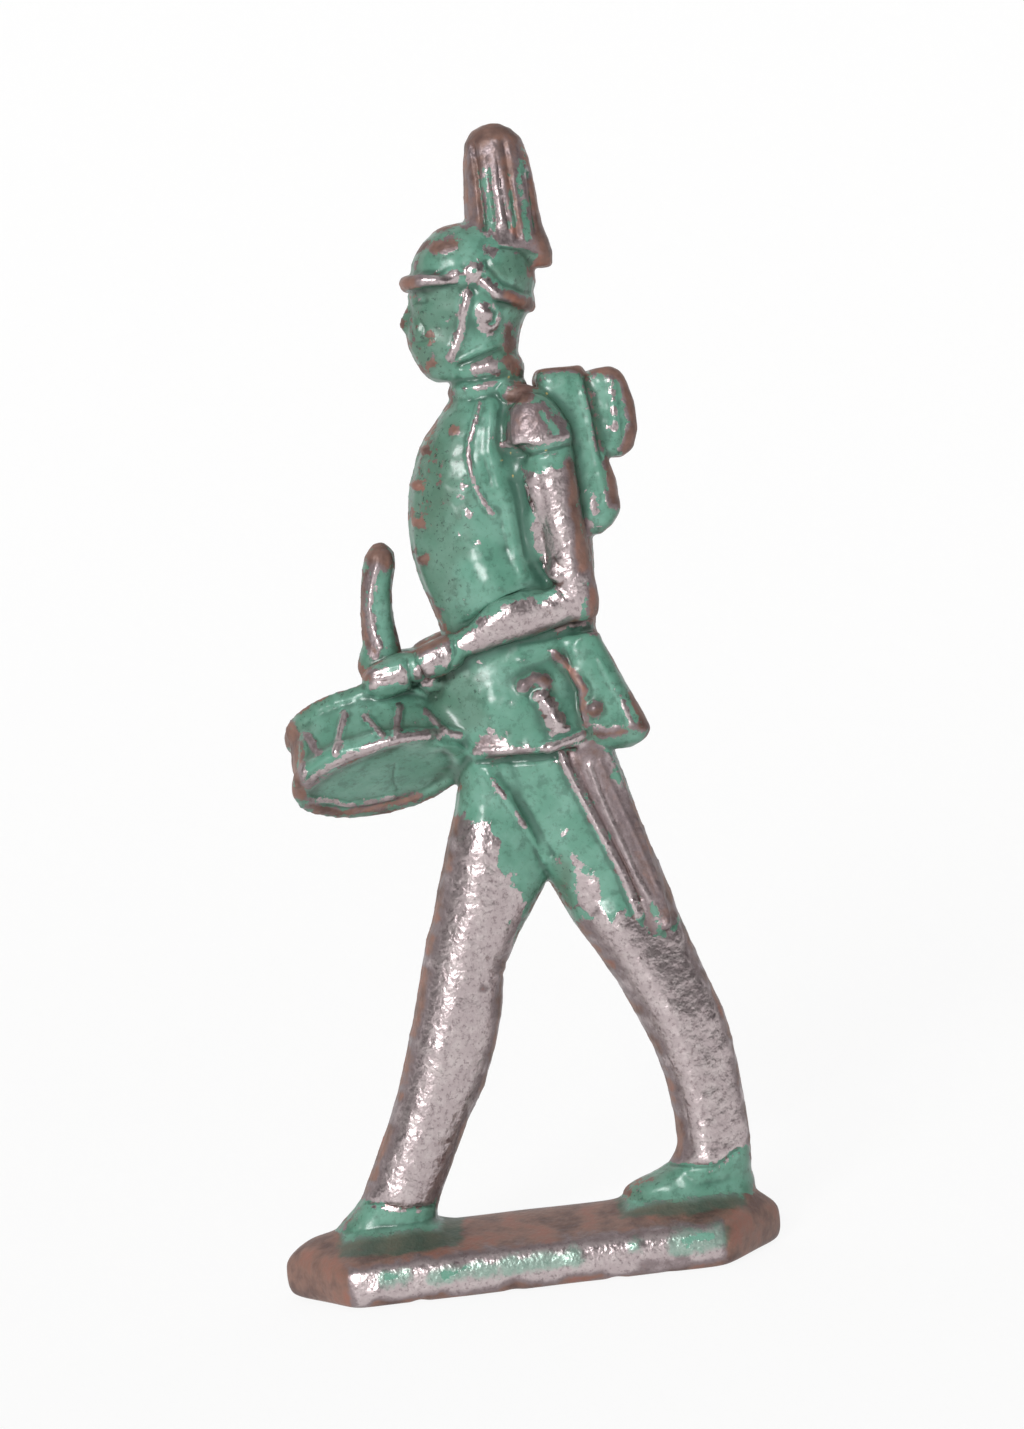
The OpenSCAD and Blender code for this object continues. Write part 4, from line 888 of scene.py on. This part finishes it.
def part_casting(mesh):
    """Cuts the casting into one closed piece for each solid."""
    names = sorted(frame["nodes"])
    centres = read(mesh.polygons, "center", 3) + read(mesh.polygons, "normal", 3) * PROBE
    labels = tidy_labels(mesh, nearest_forms(centres, names), len(names))
    for _ in names:
        mesh.materials.append(None)
    mesh.polygons.foreach_set("material_index", labels.astype(np.int32))
    mesh.attributes.new("form", "INT", "FACE").data.foreach_set("value", labels.astype(np.int32))
    casting = bpy.data.objects.new("casting", mesh)
    bpy.context.scene.collection.objects.link(casting)
    before = set(bpy.data.objects) - {casting}
    for other in bpy.context.selected_objects:
        other.select_set(False)
    bpy.context.view_layer.objects.active = casting
    casting.select_set(True)
    bpy.ops.mesh.separate(type="MATERIAL")
    pieces = {}
    for piece in set(bpy.data.objects) - before:
        piece.select_set(False)
        form = piece.data.attributes["form"]
        pieces[names[form.data[0].value]] = piece
        piece.data.attributes.remove(form)
    return pieces


def colour(red, green, blue):
    """A colour from its screen values of 0 to 255."""
    shares = [value / 255 for value in (red, green, blue)]
    linear = [share / 12.92 if share <= 0.04045 else ((share + 0.055) / 1.055) ** 2.4 for share in shares]
    return [*linear, 1]


PAINT_GREEN = colour(98, 150, 130)
PAINT_PALE = colour(120, 168, 150)
PAINT_DARK = colour(64, 100, 86)
PAINT_SPECK = colour(44, 58, 50)
# Grimy enamel, which along the rims is painted shade
PAINT_GRIME_AND_RIM_SHADE = colour(80, 94, 78)
PAINT_OCHRE = colour(206, 176, 104)
METAL = colour(188, 174, 175)
METAL_PALE = colour(222, 212, 210)
METAL_DIM = colour(118, 103, 105)
# Browns of tarnish; along the rims they are a painted brown reflection and shade, and the dark one is also
# painted shade in hollows and valleys
TARNISH_AND_RIM_BROWN = colour(138, 106, 94)
DARK_TARNISH_AND_SHADE = colour(98, 74, 68)
TARNISH_AND_RIM_RED = colour(158, 98, 82)
# Patterns: grains per metre, octaves of detail and how much the fine ones count
TINT = (550, 3, 0.6)
RAGGED = (1500, 4, 0.65)
PITS = (5200, 2, 0.5)
GLITTER = (3600, 3, 0.7)
DIMPLES = (3800, 1, 0.5)
RIPPLES = (1200, 1, 0.5)
# Paint chips off by two patterns, stays in hollows, and ends where what is left passes through this range
CHIP_PITS = 0.7
CHIP_RAGS = 1.7
HOLLOW_KEEPS = 0.45
PAINT_LEFT = (0.44, 0.56)
# Veils of colour: where in its pattern each one starts, where it is full and how strong it is then
ENAMEL_MOTTLE = (0.35, 0.7, 1)
ENAMEL_SHADE = (0.5, 0.35, 0.45)
# The hollow and valley veils are painted shade: darker enamel and metal down in the relief
ENAMEL_HOLLOW_SHADE = (0.58, 0.95, 0.65)
ENAMEL_VALLEY_SHADE = (0.5, 0.75, 0.8)
METAL_RUBBED = (0.4, 0.75, 0.6)
METAL_PITTED = (0.5, 0.32, 0.6)
METAL_HOLLOW_SHADE = (0.58, 0.95, 0.85)
METAL_VALLEY_SHADE = (0.55, 0.9, 0.6)
BROWN_MOTTLE = (0.3, 0.6, 1)
BROWN_REDDISH = (0.5, 0.75, 0.6)
# Grime and painted rim shade on the enamel over the tarnish field, and dirt specks: their range in the
# pattern, over tarnish and everywhere
ENAMEL_GRIME_AND_RIM_SHADE = 0.7
DIRT_SPECKS = (0.42, 0.34)
DIRT_ON_TARNISH = 0.7
DIRT_ALL_OVER = 0.25
# How ragged the tarnish and the rims' painted reflection and shade are, and the ranges in which the metal
# dulls and turns brown
TARNISH_AND_RIM_RAGS = 0.9
DULLED = (0.08, 0.5)
BROWNED_BY_TARNISH_AND_RIMS = (0.45, 0.85)
DULLED_DIMS = 0.8
# The thin film of paint: its share, how ragged it is, its range and how much it covers
FILM_SHARE = 0.8
FILM_RAGS = 1.2
FILM_RANGE = (0.2, 0.75)
FILM_COVERS = 0.65
OCHRE_EDGE = (0.55, 0.65)
# How metallic and how rough the states of the metal are, and the film and the enamel
METALLIC_BARE, METALLIC_DULL, METALLIC_BROWN, METALLIC_FILM = 0.92, 0.55, 0.15, 0.3
ROUGH_BARE, ROUGH_DULL, ROUGH_BROWN, ROUGH_ENAMEL = 0.34, 0.45, 0.5, 0.3
# Heights of the fine patterns on metal and on enamel, and of the enamel itself
DIMPLE_H_METAL, DIMPLE_H_ENAMEL = 0.04, 0.008
RIPPLE_H_METAL, RIPPLE_H_ENAMEL = 0.07, 0.03
ENAMEL_H = 0.03


class Finish:
    """A material's nodes, added one after another."""

    def __init__(self, name):
        self.material = bpy.data.materials.new(name)
        self.material.use_nodes = True
        self.tree = self.material.node_tree
        self.shader = self.tree.nodes["Principled BSDF"]

    def put(self, socket, value):
        if isinstance(value, bpy.types.NodeSocket):
            self.tree.links.new(value, socket)
        else:
            socket.default_value = value

    def add(self, kind, values, **settings):
        node = self.tree.nodes.new(kind)
        for name, value in settings.items():
            setattr(node, name, value)
        for key, value in values.items():
            self.put(node.inputs[key], value)
        return node

    def field(self, name):
        """A value kept on the casting's points."""
        return self.add("ShaderNodeAttribute", {}, attribute_name=name).outputs["Fac"]

    def place(self):
        return self.add("ShaderNodeTexCoord", {}).outputs["Object"]

    def noise(self, place, grain, detail, roughness):
        values = {"Vector": place, "Scale": grain, "Detail": detail, "Roughness": roughness}
        return self.add("ShaderNodeTexNoise", values).outputs["Fac"]

    def sum(self, value, factor, other):
        """value times factor plus other."""
        node = self.add("ShaderNodeMath", {0: value, 1: factor, 2: other}, operation="MULTIPLY_ADD")
        return node.outputs[0]

    def product(self, value, factor):
        return self.add("ShaderNodeMath", {0: value, 1: factor}, operation="MULTIPLY").outputs[0]

    def greater(self, value, other):
        return self.add("ShaderNodeMath", {0: value, 1: other}, operation="MAXIMUM").outputs[0]

    def step(self, value, low, high):
        """A soft step from 0 to 1 as the input passes from low to high."""
        values = {"Value": value, "From Min": low, "From Max": high, "To Min": 0, "To Max": 1}
        return self.add("ShaderNodeMapRange", values, interpolation_type="SMOOTHSTEP").outputs["Result"]

    def blend(self, share, first, second):
        """One colour over another by a share."""
        node = self.add("ShaderNodeMix", {}, data_type="RGBA")
        self.put(node.inputs["Factor"], share)
        self.put(node.inputs[6], first)
        self.put(node.inputs[7], second)
        return node.outputs[2]

    def veil(self, pattern, veil, under, over):
        """One colour over another where a pattern lets it through."""
        low, high, strength = veil
        return self.blend(self.product(self.step(pattern, low, high), strength), under, over)

    def between(self, share, first, second):
        """One value over another by a share."""
        node = self.add("ShaderNodeMix", {})
        self.put(node.inputs["Factor"], share)
        self.put(node.inputs[2], first)
        self.put(node.inputs[3], second)
        return node.outputs[0]


def worn_casting_finish(name):
    """Green enamel, chipped down to a glittering pinkish metal, with painted brown reflection and shade
    along its edges and painted shade in its hollows.
    """
    f = Finish(name)
    place = f.place()
    paint, tarnish_and_rim_shade = f.field("paint"), f.field("tarnish_and_rim_shade")
    hollow, valley = f.field("hollow"), f.field("valley")
    film, ochre = f.field(FILM), f.field(OCHRE)
    tint, ragged = f.noise(place, *TINT), f.noise(place, *RAGGED)
    pits, glitter = f.noise(place, *PITS), f.noise(place, *GLITTER)
    # Paint is lost where the field, the ragged pattern and the ridges of the relief say so
    chips = f.sum(pits, CHIP_PITS, f.sum(ragged, CHIP_RAGS, -(CHIP_PITS + CHIP_RAGS) / 2))
    left = f.sum(chips, 1, f.sum(hollow, HOLLOW_KEEPS, f.sum(paint, 1, -HOLLOW_KEEPS / 2)))
    cover = f.step(left, *PAINT_LEFT)
    # Enamel: mottled, with painted shade in hollows and valleys, grime and painted rim shade where the
    # tarnish field is, and black specks where dirt stays
    enamel = f.veil(tint, ENAMEL_MOTTLE, PAINT_GREEN, PAINT_PALE)
    enamel = f.veil(ragged, ENAMEL_SHADE, enamel, PAINT_DARK)
    enamel = f.veil(hollow, ENAMEL_HOLLOW_SHADE, enamel, PAINT_DARK)
    enamel = f.veil(valley, ENAMEL_VALLEY_SHADE, enamel, PAINT_DARK)
    enamel = f.blend(f.product(tarnish_and_rim_shade, ENAMEL_GRIME_AND_RIM_SHADE), enamel, PAINT_GRIME_AND_RIM_SHADE)
    dirt = f.product(f.step(glitter, *DIRT_SPECKS), f.sum(tarnish_and_rim_shade, DIRT_ON_TARNISH, DIRT_ALL_OVER))
    enamel = f.blend(dirt, enamel, PAINT_SPECK)
    # Bare metal: pale where it was rubbed, dim in its pits, and painted shade in its hollows and valleys
    metal = f.veil(ragged, METAL_RUBBED, METAL, METAL_PALE)
    metal = f.veil(glitter, METAL_PITTED, metal, METAL_DIM)
    metal = f.veil(hollow, METAL_HOLLOW_SHADE, metal, DARK_TARNISH_AND_SHADE)
    metal = f.veil(valley, METAL_VALLEY_SHADE, metal, DARK_TARNISH_AND_SHADE)
    # Tarnish, and the painted brown reflection along the rims: brown, reddish in places and dark in others
    brown = f.veil(tint, BROWN_MOTTLE, DARK_TARNISH_AND_SHADE, TARNISH_AND_RIM_BROWN)
    brown = f.veil(tint, BROWN_REDDISH, brown, TARNISH_AND_RIM_RED)
    tarnish_and_rim_pattern = f.sum(ragged, TARNISH_AND_RIM_RAGS, f.sum(tarnish_and_rim_shade, 1, -TARNISH_AND_RIM_RAGS / 2))
    dulled, browned_by_tarnish_and_rims = f.step(tarnish_and_rim_pattern, *DULLED), f.step(tarnish_and_rim_pattern, *BROWNED_BY_TARNISH_AND_RIMS)
    metal = f.blend(f.product(dulled, DULLED_DIMS), metal, METAL_DIM)
    metal = f.blend(browned_by_tarnish_and_rims, metal, brown)
    # Film of paint on the metal, and the ochre dots over all
    ragged_film = f.sum(ragged, FILM_RAGS, f.sum(film, FILM_SHARE, -FILM_RAGS / 2))
    film = f.product(f.step(ragged_film, *FILM_RANGE), FILM_COVERS)
    metal = f.blend(film, metal, f.blend(tarnish_and_rim_shade, PAINT_PALE, PAINT_DARK))
    surface = f.blend(cover, metal, enamel)
    f.put(f.shader.inputs["Base Color"], f.blend(f.step(ochre, *OCHRE_EDGE), surface, PAINT_OCHRE))
    shine = f.between(browned_by_tarnish_and_rims, f.between(dulled, METALLIC_BARE, METALLIC_DULL), METALLIC_BROWN)
    shine = f.between(film, shine, METALLIC_FILM)
    rough = f.between(browned_by_tarnish_and_rims, f.between(dulled, ROUGH_BARE, ROUGH_DULL), ROUGH_BROWN)
    f.put(f.shader.inputs["Metallic"], f.between(cover, shine, 0))
    f.put(f.shader.inputs["Roughness"], f.between(cover, rough, ROUGH_ENAMEL))
    # Height: the paint's thickness, the metal's grain and the faint ripple of the enamel
    dimples, ripples = f.noise(place, *DIMPLES), f.noise(place, *RIPPLES)
    grain = f.product(dimples, f.between(cover, DIMPLE_H_METAL * MM, DIMPLE_H_ENAMEL * MM))
    crinkle = f.product(ripples, f.between(cover, RIPPLE_H_METAL * MM, RIPPLE_H_ENAMEL * MM))
    height = f.sum(cover, ENAMEL_H * MM, f.sum(grain, 1, crinkle))
    bump = f.add("ShaderNodeBump", {"Height": height, "Strength": 1.0, "Distance": 1.0})
    f.put(f.shader.inputs["Normal"], bump.outputs["Normal"])
    return f.material


def dress(pieces):
    """Closes each piece, gives it its finish and its place in the frame."""
    slots = {part["node"]: part["material_slot"] for part in frame["record"]["subparts"]}
    finishes = {slot: worn_casting_finish("worn_" + slot) for slot in sorted(set(slots.values()))}
    for name, piece in sorted(pieces.items()):
        close_piece(piece)
        data = piece.data
        soft = read(data.attributes["soft_normal"].data, "vector", 3)
        inner_wall = (soft * read(data.vertex_normals, "vector", 3)).sum(1) < 0
        soft[inner_wall] *= -1
        data.materials.clear()
        data.materials.append(finishes[slots[name]])
        data.polygons.foreach_set("material_index", np.zeros(len(data.polygons), np.int32))
        data.attributes.remove(data.attributes["soft_normal"])
        data.normals_split_custom_set_from_vertices([Vector(normal) for normal in soft])
        piece.name = name + "_cast"
        data.name = piece.name
        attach(piece, "root")
        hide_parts(name)


# Stage: a pale sweep behind and under the figure, a soft key light near the camera and an even surround
SWEEP_W = 3
SWEEP_FRONT = -1.5
SWEEP_BACK = 0.4
SWEEP_H = 1.5
SWEEP_BEND = 0.3
SWEEP_STEPS = 12
STAGE_PALE = (0.92, 0.92, 0.91, 1)
STAGE_GLOW = 0.9
KEY_TURN = math.radians(-22)
KEY_RISE = math.radians(19)
KEY_STRENGTH = 2.45
KEY_SPREAD = math.radians(18)
TOP_RISE = math.radians(75)
TOP_STRENGTH = 0.3
TOP_SPREAD = math.radians(60)
SURROUND = (0.1, 0.096, 0.096, 1)


def stage_finish():
    """A pale floor that takes the shadow and looks nearly white to the camera and in reflections."""
    f = Finish("pale_stage")
    f.put(f.shader.inputs["Base Color"], STAGE_PALE)
    f.put(f.shader.inputs["Roughness"], 1.0)
    f.put(f.shader.inputs["Specular IOR Level"], 0.0)
    rays = f.add("ShaderNodeLightPath", {}).outputs
    mirrored = f.greater(rays["Is Glossy Ray"], rays["Is Transmission Ray"])
    seen = f.greater(rays["Is Camera Ray"], mirrored)
    glow = f.add("ShaderNodeEmission", {"Color": (1, 1, 1, 1), "Strength": 1.0}).outputs["Emission"]
    layers = {0: f.product(seen, STAGE_GLOW), 1: f.shader.outputs["BSDF"], 2: glow}
    mix = f.add("ShaderNodeMixShader", layers)
    f.put(f.tree.nodes["Material Output"].inputs["Surface"], mix.outputs["Shader"])
    return f.material


def build_stage():
    """Floor, backdrop and lights."""
    sweep = bmesh.new()
    edge = [(SWEEP_FRONT, 0), (SWEEP_BACK - SWEEP_BEND, 0)]
    for step in range(1, SWEEP_STEPS + 1):
        turn = step / SWEEP_STEPS * math.pi / 2
        y = SWEEP_BACK - SWEEP_BEND + SWEEP_BEND * math.sin(turn)
        edge.append((y, SWEEP_BEND - SWEEP_BEND * math.cos(turn)))
    edge.append((SWEEP_BACK, SWEEP_H))
    corners = [sweep.verts.new((-SWEEP_W / 2, y, z)) for y, z in edge]
    lines = [sweep.edges.new(pair) for pair in zip(corners, corners[1:])]
    drawn = bmesh.ops.extrude_edge_only(sweep, edges=lines)
    moved = [item for item in drawn["geom"] if isinstance(item, bmesh.types.BMVert)]
    bmesh.ops.translate(sweep, verts=moved, vec=(SWEEP_W, 0, 0))
    bmesh.ops.recalc_face_normals(sweep, faces=sweep.faces)
    data = bpy.data.meshes.new("stage")
    sweep.to_mesh(data)
    sweep.free()
    for face in data.polygons:
        face.use_smooth = True
    data.materials.append(stage_finish())
    stage = bpy.data.objects.new("stage", data)
    bpy.context.scene.collection.objects.link(stage)

    def sun(name, turn, rise, strength, spread):
        lamp = bpy.data.lights.new(name, "SUN")
        lamp.energy = strength
        lamp.angle = spread
        holder = bpy.data.objects.new(name, lamp)
        toward = Vector((
            math.sin(turn) * math.cos(rise), -math.cos(turn) * math.cos(rise), math.sin(rise),
        ))
        holder.rotation_euler = toward.to_track_quat("Z", "Y").to_euler()
        bpy.context.scene.collection.objects.link(holder)

    sun("key_light", KEY_TURN, KEY_RISE, KEY_STRENGTH, KEY_SPREAD)
    sun("top_light", 0, TOP_RISE, TOP_STRENGTH, TOP_SPREAD)
    world = bpy.data.worlds.new("surround")
    world.use_nodes = True
    world.node_tree.nodes["Background"].inputs["Color"].default_value = SURROUND
    bpy.context.scene.world = world


def build_camera():
    """The camera of the photograph."""
    right, up, back = camera_axes()
    lens = bpy.data.cameras.new("camera")
    lens.sensor_fit = "VERTICAL"
    lens.sensor_height = SENSOR_H
    lens.lens = SENSOR_H * EYE_DISTANCE * PIXELS_PER_MM / FRAME_H
    lens.clip_start = CLIP_START * MM
    camera = bpy.data.objects.new("camera", lens)
    turn = Matrix((right, up, back)).transposed().to_4x4()
    camera.matrix_world = Matrix.Translation(EYE * MM) @ turn
    bpy.context.scene.collection.objects.link(camera)
    bpy.context.scene.camera = camera
    bpy.context.scene.view_settings.view_transform = "Standard"


casting = fused_casting()
melt(casting)
sculpt(casting)
wear_and_rim_shade(casting)
dress(part_casting(casting))
build_stage()
build_camera()
